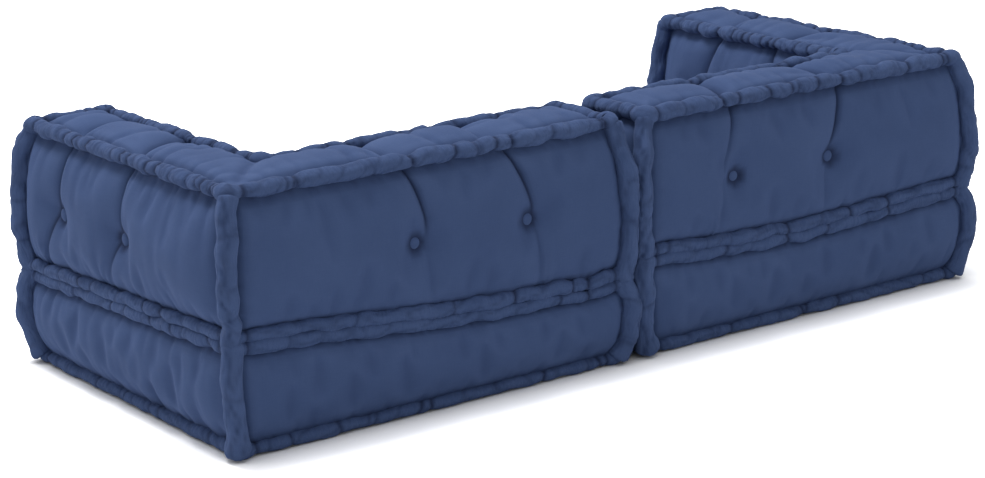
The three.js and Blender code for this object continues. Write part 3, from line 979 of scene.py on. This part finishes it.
def nick(size, dark, away, turn, depth, width, dice):
    """Bites a nick into a tube, with pleats round it, and gives the painted shade in the nick."""
    bite, shoulder = np.exp(-(away / width) ** 1.2), np.exp(-(away / (3.5 * width)) ** 2)
    size -= depth * (0.6 * bite + 0.4 * shoulder)
    pleats = np.cos(6 * turn + dice.uniform(0, ANY_TURN))[None, :]
    size += 0.22 * depth * pleats * np.exp(-away / (1.8 * width))
    return np.maximum(dark, min(1, depth / 0.24) * np.exp(-(away / (0.9 * width)) ** 1.5))


def tube(rings, dark, closed, total, round_way):
    """A strip of squares wrapped round a path, from its rings of points."""
    count = len(rings) - 1
    mesh = bmesh.new()
    bmesh.ops.create_grid(mesh, x_segments=count, y_segments=RING_SIDES, size=0.5)
    layer = mesh.loops.layers.uv.new("cloth")
    # Painted shade of each point, for the material: darker in the creases, nicks and folds.
    shade = mesh.verts.layers.float.new("shade")
    for face in mesh.faces:
        for loop in face.loops:
            x, y, _ = loop.vert.co
            loop[layer].uv = ((x + 0.5) * total, (y + 0.5) * round_way)
    for vert in mesh.verts:
        ring, side = round((vert.co.x + 0.5) * count), round((vert.co.y + 0.5) * RING_SIDES)
        vert[shade] = dark[ring, side % RING_SIDES]
        vert.co = rings[ring if not closed else ring % count, side % RING_SIDES]
    bmesh.ops.remove_doubles(mesh, verts=mesh.verts, dist=SAME_POINT)
    bmesh.ops.recalc_face_normals(mesh, faces=mesh.faces)
    return mesh


def roll(path, closed, radius, outward, nicks, swells, dice, wander, oval=1.0, ridge=0.0,
         crease_size=0.080):
    """A stitched welt along a path, with its nicks and bulges, as a closed mesh."""
    centres, lengths = rounded(path, closed)
    total = lengths[-1]
    out, up = ways_across(centres, closed, outward)
    fade = smooth(np.minimum(lengths, total - lengths) / LOOP_ENDS_FADE) if closed else 1
    centres = centres + out * (wander * waves(lengths, 0.13, dice) * fade)[:, None]
    centres += up * (wander * waves(lengths, 0.11, dice) * fade)[:, None]
    turn = np.arange(RING_SIDES) / RING_SIDES * 2 * np.pi
    size = np.ones((len(lengths), RING_SIDES))
    size += 0.04 * (waves(lengths, 0.17, dice) * fade)[:, None]
    unround(size, turn, lengths, fade, 0.016, 1.3, 0.23, dice)
    if ridge > 0:
        press_ridge(size, turn, lengths, ridge, 0.24, dice)
    creases = crumples(lengths, turn, crease_size, dice)
    creases = creases * np.reshape(fade * np.ones(len(lengths)), (-1, 1))
    size -= CREASE_DEPTH * creases
    # Painted shade: the thin creases are painted darker.
    dark = PAINTED_CRUMPLE_SHADE * creases
    for place, depth, width, lean in nicks:
        away = gap_along(lengths[:, None] + lean * np.sin(turn)[None, :], place, total, closed)
        dark = nick(size, dark, away, turn, depth, width, dice)
    for place, height, width in swells:
        away = gap_along(lengths, place, total, closed)
        size += (height * np.exp(-(away / width) ** 2))[:, None]
    unround(size, turn, lengths, fade, 0.02, 1.5, 0.07, dice)
    if ridge > 0:
        off = press_ridge(size, turn, lengths, ridge, 0.28, dice)
        # Painted shade along the pressed fold.
        dark = np.maximum(dark, 0.4 * np.exp(-(off / 0.20) ** 2))
    size = np.maximum(size, THINNEST)
    if not closed:
        tip = np.clip(np.minimum(lengths, total - lengths) / TIP_LENGTH, 0, 1)
        size *= np.sqrt(1 - (1 - tip) ** 2)[:, None]
    across = out[:, None, :] * np.cos(turn)[None, :, None]
    upward = oval * up[:, None, :] * np.sin(turn)[None, :, None]
    rings = centres[:, None, :] + radius * size[:, :, None] * (across + upward)
    return tube(rings, dark, closed, total, 2 * np.pi * radius)


# %% [markdown]
# The sharpest nicks are set by their place in the plan and their depth. Between them, smaller ones
# are drawn by seeded chance, closer together on the arm, where the cloth is gathered.

# %% Places of the nicks
def length_at(path, closed, place):
    """The length along a path that lies nearest to a place in the plan."""
    centres, lengths = rounded(path, closed)
    flat = np.linalg.norm(centres[:, :len(place)] - np.array(place), axis=1)
    return lengths[np.argmin(flat)]


def chance_nicks(start, end, pitch, deepest, dice):
    """Small nicks at uneven steps along a stretch."""
    nicks, place = [], start + pitch * dice.uniform(0.3, 1)
    while place < end:
        nicks.append((place, deepest * dice.uniform(0.2, 1) ** 1.5, dice.uniform(0.0025, 0.0050),
                      dice.uniform(-0.006, 0.006)))
        place += pitch * dice.uniform(0.35, 1.7)
    return nicks


def chance_swells(total, dice):
    """Wide bulges and thin places at uneven steps along a roll."""
    swells, place = [], 0.03
    while place < total - 0.02:
        swells.append((place, dice.uniform(-0.10, 0.12), dice.uniform(0.010, 0.026)))
        place += dice.uniform(0.025, 0.075)
    return swells


def steps_of(path, closed):
    """The distances from each point of a path to the next one."""
    stops = path + path[:1] if closed else path
    return [np.linalg.norm(b - a) for a, b in zip(stops, stops[1:])]


def loop_path(cushion, level):
    """The path of a roll round a cushion, where the skin's pinned edge lies."""
    flat = []
    corners = cushion.outline()
    for (ax, ay), (bx, by) in zip(corners, corners[1:] + corners[:1]):
        for k in range(8):
            flat.append((ax + (bx - ax) * k / 8, ay + (by - ay) * k / 8, level))
    return list(stuffed(cushion, np.array(flat))[0])


SHARP = {
    ("left", "top"): [
        ((0.047, 0.03), 0.20), ((0.118, 0.03), 0.16), ((0.134, 0.03), 0.20), ((0.324, 0.03), 0.42),
        ((0.437, 0.03), 0.16), ((0.469, 0.03), 0.24), ((0.500, 0.03), 0.45), ((0.574, 0.03), 0.15),
        ((0.671, 0.03), 0.26), ((0.03, 0.486), 0.36), ((0.03, 0.455), 0.26), ((0.03, 0.414), 0.24),
        ((0.03, 0.314), 0.36), ((0.03, 0.294), 0.34), ((0.03, 0.215), 0.30), ((0.03, 0.087), 0.28),
        ((0.03, 0.060), 0.30), ((0.216, WALL), 0.20), ((0.266, WALL), 0.22), ((0.303, WALL), 0.36),
        ((0.412, WALL), 0.20), ((0.446, WALL), 0.36), ((0.569, WALL), 0.24), ((0.652, WALL), 0.26),
        ((WALL, 0.340), 0.34), ((WALL, 0.275), 0.24), ((WALL, 0.217), 0.24),
    ],
    ("right", "top"): [
        ((0.533, 0.03), 0.40), ((0.503, 0.03), 0.28), ((0.439, 0.03), 0.26), ((0.393, 0.03), 0.22),
        ((0.339, 0.03), 0.28), ((0.285, 0.03), 0.40), ((0.248, 0.03), 0.18), ((0.141, 0.03), 0.30),
        ((0.061, 0.03), 0.24), ((0.03, 0.310), 0.34), ((0.03, 0.500), 0.34),
        ((0.300, WALL), 0.34), ((0.490, WALL), 0.34), ((WALL, 0.330), 0.40), ((WALL, 0.460), 0.40),
    ],
    ("left", "bottom"): [
        ((0.184, 0.03), 0.20), ((0.342, 0.03), 0.24), ((0.545, 0.03), 0.28), ((0.653, 0.03), 0.24),
    ],
    ("right", "bottom"): [((0.360, 0.03), 0.22), ((0.520, 0.03), 0.20)],
    ("left", "seam"): [((0.628, 0.03), 0.28)],
    ("right", "seam"): [((0.410, 0.03), 0.28), ((0.190, 0.03), 0.24)],
}


SHARP_WIDTH = 0.0042
CORNER_NICK, CORNER_NICK_WIDTH, CORNER_NICK_STEP = 0.20, 0.004, 0.020
EAR_WIDTH = 0.014


def loop_roll(side, cushion, name, level, radius, pitches, deepest, kind, dice, wander, ear,
              oval=1.0, crease_size=0.080):
    """One roll that runs all the way round a cushion, with an ear at each corner."""
    path = loop_path(cushion, level)
    nicks = []
    for (start, end), pitch in zip(stretches_of(cushion, path), pitches):
        nicks += chance_nicks(start, end, pitch, deepest, dice)
    for place, depth in SHARP[side, kind]:
        nicks.append((length_at(path, True, place), depth, SHARP_WIDTH, dice.uniform(-0.003, 0.003)))
    swells = chance_swells(sum(steps_of(path, True)), dice)
    for corner in stuffed(cushion, np.array([(x, y, level) for x, y in cushion.outline()]))[0]:
        place = length_at(path, True, corner)
        swells.append((place, ear, EAR_WIDTH))
        nicks += [(place + step, CORNER_NICK, CORNER_NICK_WIDTH, 0.0)
                  for step in (-CORNER_NICK_STEP, CORNER_NICK_STEP)]
    mesh = roll(path, True, radius, None, nicks, swells, dice, wander, oval=oval,
                crease_size=crease_size)
    return new_thing(f"{side}_{name}", mesh)


def stretches_of(cushion, path):
    """The first and last length of each side of a cushion's roll."""
    count = len(cushion.outline())
    per_side = len(path) // count
    marks = np.concatenate([[0], np.cumsum(steps_of(path, True))])
    return [(marks[k * per_side], marks[(k + 1) * per_side]) for k in range(count)]


def corner_roll(side, cushion, name, corner, outward, low_end, high_end, foot, dice):
    """One upright roll at a corner of a cushion, with a foot that swells out at its lower end."""
    levels = np.linspace(cushion.floor, cushion.top, 9)
    points = stuffed(cushion, np.array([(*corner, z) for z in levels]))[0]
    path = [points[0] + np.array((0, 0, low_end)), *points, points[-1] + np.array((0, 0, high_end))]
    total = sum(steps_of(path, False))
    nicks = chance_nicks(0.015, total - 0.01, 0.075, 0.12, dice)
    swells = chance_swells(total, dice) + [(0, foot, 0.020), (total / 2, 0.08, 0.07)]
    mesh = roll(path, False, CORNER_ROLL, np.array(outward), nicks, swells, dice, 0.0018,
                ridge=0.20, crease_size=0.150)
    return new_thing(f"{side}_{name}", mesh)


# %% [markdown]
# The four cushions and their rolls. Insets are those of the roll axes at the bottom and at the top.

# %% Cushions
BASE_SWELL, BACK_SWELL, CROWN, SEAT_CROWN = 0.024, 0.026, 0.023, 0.020
BOTTOM_INSET, SEAM_INSET, TOP_INSET = 0.027, 0.016, 0.029
WALL_PITCHES = (0.115, 0.050, 0.045, 0.022, 0.045, 0.026)
SEAM_PITCHES = (0.110, 0.080, 0.080, 0.050, 0.080, 0.050)
PLAIN_PITCHES = (0.120, 0.080, 0.080, 0.050)
BASE_ROLLS = ("lower_seam_roll", "bottom_roll", "base_corner_roll")


def cushions(side):
    base = Cushion("base_cover", BOTTOM_ROLL, SEAM - SEAM_ROLL, (BOTTOM_INSET, SEAM_INSET),
                   BASE_SWELL, False)
    back = Cushion("back_cover", SEAM + SEAM_ROLL, TOP_AXIS, (SEAM_INSET, TOP_INSET), BACK_SWELL, True)
    base.crown, base.crown_within = SEAT_CROWN, 0.09
    back.crown, back.crown_within = CROWN, SPAN / 2
    base.sag, base.lift = BOTTOM_ROLL - LOWEST, SEAM_ROLL - LOWEST
    back.sag = SEAM_ROLL - LOWEST
    base.spare = (0.012, 0.014, 0.0)
    back.spare = (0.014, 0.014, 0.010)
    base.taut, back.taut = {}, {"top": 0.7}
    base.low_roll, base.high_roll = BOTTOM_ROLL, SEAM_ROLL
    back.low_roll, back.high_roll = SEAM_ROLL, TOP_ROLL
    base.tufts = [("top", button_place(f"{side}_seat_{number}_button")) for number in (1, 2, 3, 4)]
    back.tufts = []
    for number in (1, 2):
        for wall in ("back", "arm"):
            back.tufts.append((wall, button_place(f"{side}_{wall}_{number}_outer_button")))
            back.tufts.append((f"inner_{wall}", button_place(f"{side}_{wall}_{number}_inner_button")))
    return base, back


for side in MODULES:
    dice = np.random.default_rng(11 if side == "left" else 12)
    base, back = cushions(side)
    for cushion in (base, back):
        skin = make_skin(side, cushion, dice)
        core = make_core(side, cushion)
        place_piece(side, core)
        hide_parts(f"{side}_{cushion.name}".replace("cover", "core"))
        skin.modifiers.new("finer", "SUBSURF").levels = 1
        skin.modifiers["finer"].render_levels = 1
        place_piece(side, skin)
        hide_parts(f"{side}_{cushion.name}")
    seam_looks = {"ear": 0.0, "oval": 1.35, "crease_size": 0.160}
    rolls = [
        loop_roll(side, back, "top_roll", back.top, TOP_ROLL, WALL_PITCHES, 0.30, "top",
                  dice, 0.0014, ear=0.16),
        loop_roll(side, back, "upper_seam_roll", back.floor, SEAM_ROLL, SEAM_PITCHES, 0.32, "seam",
                  dice, 0.0016, **seam_looks),
        loop_roll(side, base, "lower_seam_roll", base.top, SEAM_ROLL, PLAIN_PITCHES, 0.32, "seam",
                  dice, 0.0016, **seam_looks),
        loop_roll(side, base, "bottom_roll", base.floor, BOTTOM_ROLL, PLAIN_PITCHES, 0.24, "bottom",
                  dice, 0.0008, ear=0.25),
    ]
    for cushion, word, low_end, high_end, foot in ((base, "base", 0.000, 0.016, 0.35),
                                                   (back, "back", -0.016, 0.003, 0.0)):
        corners = [corner for corner in cushion.outline() if corner != (INNER, INNER)]
        for number, (x, y) in enumerate(corners):
            outward = (-1 if x == EDGE_INSET else 1, -1 if y == EDGE_INSET else 1, 0)
            rolls.append(corner_roll(side, cushion, f"{word}_corner_roll_{number + 1}", (x, y),
                                     outward, low_end, high_end, foot, dice))
    for thing in rolls:
        on_base = thing.name.split("_", 1)[1].startswith(BASE_ROLLS)
        cover = "base_cover" if on_base else "back_cover"
        place_piece(side, thing)
        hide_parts(f"{side}_{cover}")
    print(f"{side}: {len(rolls)} rolls, {sum(len(thing.data.polygons) for thing in rolls)} faces")

# %% [markdown]
# The cloth is a plain cotton canvas, dyed navy. Its weave is drawn from the flat cloth's own map:
# two sets of rounded threads, and at each crossing one of them lies on top.

# %% Cotton weave
def new_group(name, inputs, outputs):
    """An empty node group with named sockets, and its input and output nodes."""
    group = bpy.data.node_groups.new(name, "ShaderNodeTree")
    for title, kind, value in inputs:
        socket = group.interface.new_socket(title, in_out="INPUT", socket_type=kind)
        socket.default_value = value
    for title, kind in outputs:
        group.interface.new_socket(title, in_out="OUTPUT", socket_type=kind)
    return group, group.nodes.new("NodeGroupInput"), group.nodes.new("NodeGroupOutput")


def math_node(group, work, *values):
    """A Math node whose inputs are sockets or plain numbers."""
    node = group.nodes.new("ShaderNodeMath")
    node.operation = work
    for socket, value in zip(node.inputs, values):
        if isinstance(value, bpy.types.NodeSocket):
            group.links.new(value, socket)
        else:
            socket.default_value = value
    return node.outputs[0]


def noise_node(group, vector, scale, detail, stretch=(1, 1, 1)):
    """A noise texture on a stretched vector."""
    mapping = group.nodes.new("ShaderNodeMapping")
    mapping.inputs["Scale"].default_value = stretch
    group.links.new(vector, mapping.inputs["Vector"])
    texture = group.nodes.new("ShaderNodeTexNoise")
    texture.inputs["Scale"].default_value = scale
    texture.inputs["Detail"].default_value = detail
    group.links.new(mapping.outputs["Vector"], texture.inputs["Vector"])
    return texture.outputs["Fac"]


THREADS = 1100.0
weave, weave_in, weave_out = new_group(
    "cotton_weave",
    [("Threads", "NodeSocketFloat", THREADS)],
    [("Height", "NodeSocketFloat"), ("Slubs", "NodeSocketFloat"), ("Blotches", "NodeSocketFloat")],
)
cloth_map = weave.nodes.new("ShaderNodeUVMap")
cloth_map.uv_map = "cloth"
split = weave.nodes.new("ShaderNodeSeparateXYZ")
weave.links.new(cloth_map.outputs["UV"], split.inputs["Vector"])
threads = weave_in.outputs["Threads"]
warp = math_node(weave, "MULTIPLY", split.outputs["X"], threads)
weft = math_node(weave, "MULTIPLY", split.outputs["Y"], threads)
warp_wave = math_node(weave, "SINE", math_node(weave, "MULTIPLY", warp, math.pi))
weft_wave = math_node(weave, "SINE", math_node(weave, "MULTIPLY", weft, math.pi))
over = math_node(weave, "MULTIPLY", warp_wave, weft_wave)
threads_up = math_node(
    weave, "ADD", math_node(weave, "ABSOLUTE", warp_wave), math_node(weave, "ABSOLUTE", weft_wave))
height = math_node(
    weave, "ADD", math_node(weave, "MULTIPLY", over, 0.5), math_node(weave, "MULTIPLY", threads_up, 0.4))
weave.links.new(height, weave_out.inputs["Height"])
long_way = noise_node(weave, cloth_map.outputs["UV"], 60, 3, (1, 14, 1))
cross_way = noise_node(weave, cloth_map.outputs["UV"], 60, 3, (14, 1, 1))
slubs = math_node(weave, "MULTIPLY", math_node(weave, "ADD", long_way, cross_way), 0.5)
weave.links.new(slubs, weave_out.inputs["Slubs"])
place = weave.nodes.new("ShaderNodeTexCoord")
weave.links.new(noise_node(weave, place.outputs["Object"], 9, 3), weave_out.inputs["Blotches"])
print("cotton weave:", len(weave.nodes), "nodes")

# %% [markdown]
# The dye isn't even: thick and thin threads show as faint streaks. The colour is also painted a
# little lighter where the cloth stands proud, and darker in the creases as painted shade. A rough
# surface with a faint blue sheen stands for the fuzz of the cotton.

# %% Navy cloth
NAVY_DEEP, NAVY, NAVY_PALE = (0.034, 0.059, 0.145), (0.050, 0.084, 0.194), (0.070, 0.111, 0.240)
PAINTED_CREASE_SHADE, PAINTED_SHADE_STRENGTH = (0.008, 0.014, 0.042), 0.88
MOST_PROUD = 0.4


def navy_cloth(name, weave_depth, lift, crumple_depth, crumple_size, stretch):
    """A cotton material. Lift paints it lighter or darker, as painted shade on the rolls; crumples are
    small folds in the finish.
    """
    made = bpy.data.materials.new(name)
    made.use_nodes = True
    tree = made.node_tree
    shader = tree.nodes["Principled BSDF"]
    shader.inputs["Roughness"].default_value = 0.88
    shader.inputs["Specular IOR Level"].default_value = 0.18
    shader.inputs["Sheen Weight"].default_value = 0.07
    shader.inputs["Sheen Roughness"].default_value = 0.5
    shader.inputs["Sheen Tint"].default_value = (0.25, 0.40, 0.9, 1)
    cotton = tree.nodes.new("ShaderNodeGroup")
    cotton.node_tree = weave
    cotton.inputs["Threads"].default_value = THREADS
    proud = tree.nodes.new("ShaderNodeAttribute")
    proud.attribute_name = "proud"
    tone = math_node(tree, "MULTIPLY_ADD", cotton.outputs["Slubs"], 0.50, -0.25)
    blotches = math_node(tree, "MULTIPLY_ADD", cotton.outputs["Blotches"], 0.50, -0.25)
    tone = math_node(tree, "ADD", tone, blotches)
    # Painted shade in the creases: the tone goes darker where the cloth lies in a crease, and lighter where
    # it stands proud.
    tone = math_node(tree, "ADD", tone, proud.outputs["Fac"])
    tone = math_node(tree, "ADD", tone, 0.5 + lift)
    ramp = tree.nodes.new("ShaderNodeValToRGB")
    ramp.color_ramp.elements[0].color = (*NAVY_DEEP, 1)
    ramp.color_ramp.elements[1].color = (*NAVY_PALE, 1)
    ramp.color_ramp.elements.new(0.5).color = (*NAVY, 1)
    tree.links.new(tone, ramp.inputs["Fac"])
    # Painted shade: the stored darkness mixes the cloth toward a near-black navy in the creases, beside the
    # rolls and round the buttons.
    creased = tree.nodes.new("ShaderNodeMix")
    creased.data_type = "RGBA"
    shade = tree.nodes.new("ShaderNodeAttribute")
    shade.attribute_name = "shade"
    creasing = math_node(tree, "MULTIPLY", shade.outputs["Fac"], PAINTED_SHADE_STRENGTH)
    tree.links.new(creasing, creased.inputs["Factor"])
    tree.links.new(ramp.outputs["Color"], creased.inputs["A"])
    creased.inputs["B"].default_value = (*PAINTED_CREASE_SHADE, 1)
    tree.links.new(creased.outputs["Result"], shader.inputs["Base Color"])
    flat_map = tree.nodes.new("ShaderNodeUVMap")
    flat_map.uv_map = "cloth"
    crumple = noise_node(tree, flat_map.outputs["UV"], crumple_size, 4, stretch)
    soft = tree.nodes.new("ShaderNodeBump")
    soft.inputs["Distance"].default_value = crumple_depth
    soft.inputs["Strength"].default_value = 0.6
    tree.links.new(crumple, soft.inputs["Height"])
    fine = tree.nodes.new("ShaderNodeBump")
    fine.inputs["Distance"].default_value = weave_depth
    fine.inputs["Strength"].default_value = 0.6
    tree.links.new(cotton.outputs["Height"], fine.inputs["Height"])
    tree.links.new(soft.outputs["Normal"], fine.inputs["Normal"])
    tree.links.new(fine.outputs["Normal"], shader.inputs["Normal"])
    return made


def paint_proud(thing, reach):
    """Stores how far each point stands out from its neighbours, from -0.4 in a crease to 0.4 on a ridge."""
    mesh = thing.data
    points, normals = points_of(mesh), normals_of(mesh)
    pairs = np.empty(len(mesh.edges) * 2, np.int32)
    mesh.edges.foreach_get("vertices", pairs)
    a, b = pairs.reshape(-1, 2).T
    count = np.bincount(a, minlength=len(points)) + np.bincount(b, minlength=len(points))
    rise = np.zeros(len(points))
    way = points[b] - points[a]
    np.add.at(rise, a, -(way * normals[a]).sum(1))
    np.add.at(rise, b, (way * normals[b]).sum(1))
    rise /= np.maximum(count, 1)
    for _ in range(2):
        total = np.zeros(len(points))
        np.add.at(total, a, rise[b])
        np.add.at(total, b, rise[a])
        rise = 0.5 * rise + 0.5 * total / np.maximum(count, 1)
    layer = mesh.attributes.new("proud", "FLOAT", "POINT")
    proud = np.clip(rise / reach, -MOST_PROUD, MOST_PROUD)
    layer.data.foreach_set("value", proud.astype(np.float32))


face_cloth = navy_cloth("navy_cotton_face", 0.00025, 0.0, 0.0012, 42, (1, 0.45, 1))
# Painted shade: the rolls and corner rolls are darker copies of the same cotton.
roll_cloth = navy_cloth("navy_cotton_roll", 0.00025, -0.20, 0.0095, 115, (1, 0.35, 1))
corner_cloth = navy_cloth("navy_cotton_corner", 0.00025, -0.16, 0.0095, 95, (0.35, 1, 1))
COTTONS = (("_skin", face_cloth, 0.0035), ("corner_roll", corner_cloth, 0.0012),
           ("_roll", roll_cloth, 0.0012))
for thing in bpy.context.scene.objects:
    _, material, reach = next((kind for kind in COTTONS if kind[0] in thing.name), (None, None, None))
    if material:
        paint_proud(thing, reach)
        thing.data.materials.append(material)

# %% [markdown]
# The buttons are covered with the same cloth: a domed disc with a soft rim, and small radial pleats
# where the cloth is drawn behind it. Each one stands where its packed button is.

# %% Buttons
BUTTON_SIDES = 40
BUTTON_THICKNESS = 0.0055
BUTTON_PLEATS, PLEAT_SHARE = 9, 0.02
BUTTON_PROFILE = [(0.0, 0.0), (0.60, 0.0), (0.90, 0.0004), (0.99, 0.0011), (1.00, 0.0019), (0.96, 0.0027),
                  (0.86, 0.0035), (0.70, 0.0044), (0.48, 0.0051), (0.24, 0.0054),
                  (0.0, BUTTON_THICKNESS)]


def covered_button(node):
    """A cloth-covered button in place of a packed one, facing the way that it faces."""
    lowest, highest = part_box(node)
    size = highest - lowest
    axis = min(range(3), key=lambda k: size[k])
    radius = max(size) / 2
    middle = (lowest + highest) / 2
    part = node.split("_", 1)[1]
    facing = Vector((0, 0, 0))
    if part.startswith("seat"):
        facing.z = 1
    else:
        side_way = 1 if node.startswith("left") else -1
        outer = 1 if "outer" in part else -1
        facing[axis] = outer * (1 if axis == 1 else side_way)
    mesh = bmesh.new()
    rings = len(BUTTON_PROFILE) - 1
    bmesh.ops.create_grid(mesh, x_segments=BUTTON_SIDES, y_segments=rings, size=0.5)
    layer = mesh.loops.layers.uv.new("cloth")
    turn = facing.to_track_quat("Z", "Y")
    foot = middle - facing * (size[axis] / 2)
    shade = mesh.verts.layers.float.new("shade")
    places = {}
    for vert in mesh.verts:
        step, ring = round((vert.co.x + 0.5) * BUTTON_SIDES), round((vert.co.y + 0.5) * rings)
        share, rise = BUTTON_PROFILE[ring]
        angle = 2 * math.pi * (step % BUTTON_SIDES) / BUTTON_SIDES
        pleat = 1 - PLEAT_SHARE * (0.5 + 0.5 * math.cos(BUTTON_PLEATS * angle)) * (share > 0.8)
        flat = Vector((math.cos(angle), math.sin(angle), 0)) * radius * share * pleat
        places[vert.index] = flat
        # Painted shade: the rim, where the cloth turns in behind the button, is painted dark.
        vert[shade] = 0.8 if rise < 0.002 else 0.0
        vert.co = foot + turn @ (flat + Vector((0, 0, rise * size[axis] / BUTTON_THICKNESS)))
    for face in mesh.faces:
        for loop in face.loops:
            loop[layer].uv = places[loop.vert.index].xy
    bmesh.ops.remove_doubles(mesh, verts=mesh.verts, dist=SAME_POINT)
    bmesh.ops.recalc_face_normals(mesh, faces=mesh.faces)
    return new_thing(f"{node}_cloth", mesh)


button_cloth = navy_cloth("button_cotton", 0.00020, 0.0, 0.0004, 160, (1, 1, 1))
buttons = [node for node in sorted(frame["nodes"]) if node.endswith("_button")]
for node in buttons:
    button = covered_button(node)
    paint_proud(button, 0.004)
    button.data.materials.append(button_cloth)
    button.data.shade_smooth()
    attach(button, node.split("_")[0] + "_module")
    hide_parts(node)
print(len(buttons), "covered buttons")

# %% [markdown]
# Nobody sees the stuffing and the twine while the covers are closed, but they are parts of the sofa
# all the same. The wadding is undyed cotton with tangled fibres, and the twine is a waxed strand.

# %% Wadding and twine
def undyed(name, pale, dark, scale, stretch, depth):
    """Undyed fibre: two tones and a bump from stretched noise on the object's own coordinates."""
    made = bpy.data.materials.new(name)
    made.use_nodes = True
    tree = made.node_tree
    shader = tree.nodes["Principled BSDF"]
    shader.inputs["Roughness"].default_value = 0.95
    shader.inputs["Specular IOR Level"].default_value = 0.15
    own = tree.nodes.new("ShaderNodeTexCoord").outputs["Object"]
    fibres = noise_node(tree, own, scale, 6, stretch)
    ramp = tree.nodes.new("ShaderNodeValToRGB")
    ramp.color_ramp.elements[0].position, ramp.color_ramp.elements[1].position = 0.30, 0.70
    ramp.color_ramp.elements[0].color, ramp.color_ramp.elements[1].color = (*dark, 1), (*pale, 1)
    tree.links.new(fibres, ramp.inputs["Fac"])
    tree.links.new(ramp.outputs["Color"], shader.inputs["Base Color"])
    bump = tree.nodes.new("ShaderNodeBump")
    bump.inputs["Distance"].default_value = depth
    tree.links.new(fibres, bump.inputs["Height"])
    tree.links.new(bump.outputs["Normal"], shader.inputs["Normal"])
    return made


wadding = undyed("cotton_wadding", (0.62, 0.57, 0.47), (0.44, 0.39, 0.30), 90, (1, 1, 0.4), 0.0015)
strand = undyed("waxed_twine", (0.50, 0.44, 0.33), (0.30, 0.25, 0.17), 700, (1, 1, 0.2), 0.0003)
for thing in [one for one in bpy.context.scene.objects if one.name.endswith("_wadding")]:
    thing.data.materials.append(wadding)
twines = [node for name, node in frame["nodes"].items() if name.endswith("_twine")]
for thing in twines:
    thing.data.materials.clear()
    thing.data.materials.append(strand)
print(len(twines), "twines")

# %% [markdown]
# The studio: a white floor, an even white sky, a large soft lamp high above the left module and a
# weak one low in front. The camera sees the floor brighter than it lights the sofa, and painted
# darker where the floor lies close to the sofa, as a painted contact shadow.

# %% Stage
FLOOR_LIT = (0.80, 0.80, 0.80, 1)
CONTACT_REACH, CONTACT_GAIN, CONTACT_BASE = 0.07, 1.9, 0.55
SKY = 0.62
LAMPS = (("key", 92, 1.4, (0.80, -0.8, 3.9)), ("fill", 9, 1.6, (0.6, -3.2, 1.6)))


def seen_by_camera(group):
    """1 for what the camera sees, also in a mirror or through glass, and 0 for light on its way."""
    kinds = group.nodes.new("ShaderNodeLightPath").outputs
    seen = math_node(group, "MAXIMUM", kinds["Is Camera Ray"], kinds["Is Glossy Ray"])
    return math_node(group, "MAXIMUM", seen, kinds["Is Transmission Ray"])


floor_mesh = bpy.data.meshes.new("floor")
grid = bmesh.new()
bmesh.ops.create_grid(grid, x_segments=1, y_segments=1, size=20)
grid.to_mesh(floor_mesh)
grid.free()
floor = bpy.data.objects.new("floor", floor_mesh)
bpy.context.scene.collection.objects.link(floor)

white = bpy.data.materials.new("white_floor")
white.use_nodes = True
tree = white.node_tree
tree.nodes["Principled BSDF"].inputs["Roughness"].default_value = 0.9
tree.nodes["Principled BSDF"].inputs["Specular IOR Level"].default_value = 0.0
paint = tree.nodes.new("ShaderNodeMix")
paint.data_type = "RGBA"
tree.links.new(seen_by_camera(tree), paint.inputs["Factor"])
paint.inputs["A"].default_value = FLOOR_LIT
# Painted contact shadow: for the camera the floor is painted darker where it lies close to the sofa.
contact = tree.nodes.new("ShaderNodeAmbientOcclusion")
contact.samples = 8
contact.inputs["Distance"].default_value = CONTACT_REACH
shade = math_node(tree, "MULTIPLY_ADD", contact.outputs["AO"], CONTACT_GAIN, CONTACT_BASE)
white_seen = tree.nodes.new("ShaderNodeCombineColor")
for channel in ("Red", "Green", "Blue"):
    tree.links.new(shade, white_seen.inputs[channel])
tree.links.new(white_seen.outputs["Color"], paint.inputs["B"])
tree.links.new(paint.outputs["Result"], tree.nodes["Principled BSDF"].inputs["Base Color"])
floor_mesh.materials.append(white)

bpy.context.scene.view_settings.view_transform = "Standard"
world = bpy.data.worlds.new("studio")
bpy.context.scene.world = world
world.use_nodes = True
tree = world.node_tree
sky = tree.nodes["Background"]
sky.inputs["Color"].default_value = (1, 1, 1, 1)
glow = math_node(tree, "MULTIPLY_ADD", seen_by_camera(tree), 1 - SKY, SKY)
tree.links.new(glow, sky.inputs["Strength"])

for name, energy, size, place in LAMPS:
    lamp = bpy.data.lights.new(name, "AREA")
    lamp.energy, lamp.size = energy, size
    light = bpy.data.objects.new(name, lamp)
    bpy.context.scene.collection.objects.link(light)
    light.location = place
    light.rotation_mode = "QUATERNION"
    light.rotation_quaternion = (-Vector(place)).to_track_quat("-Z", "Y")

# %% Finish
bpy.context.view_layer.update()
print("made in", round(time.time() - started, 1), "s")
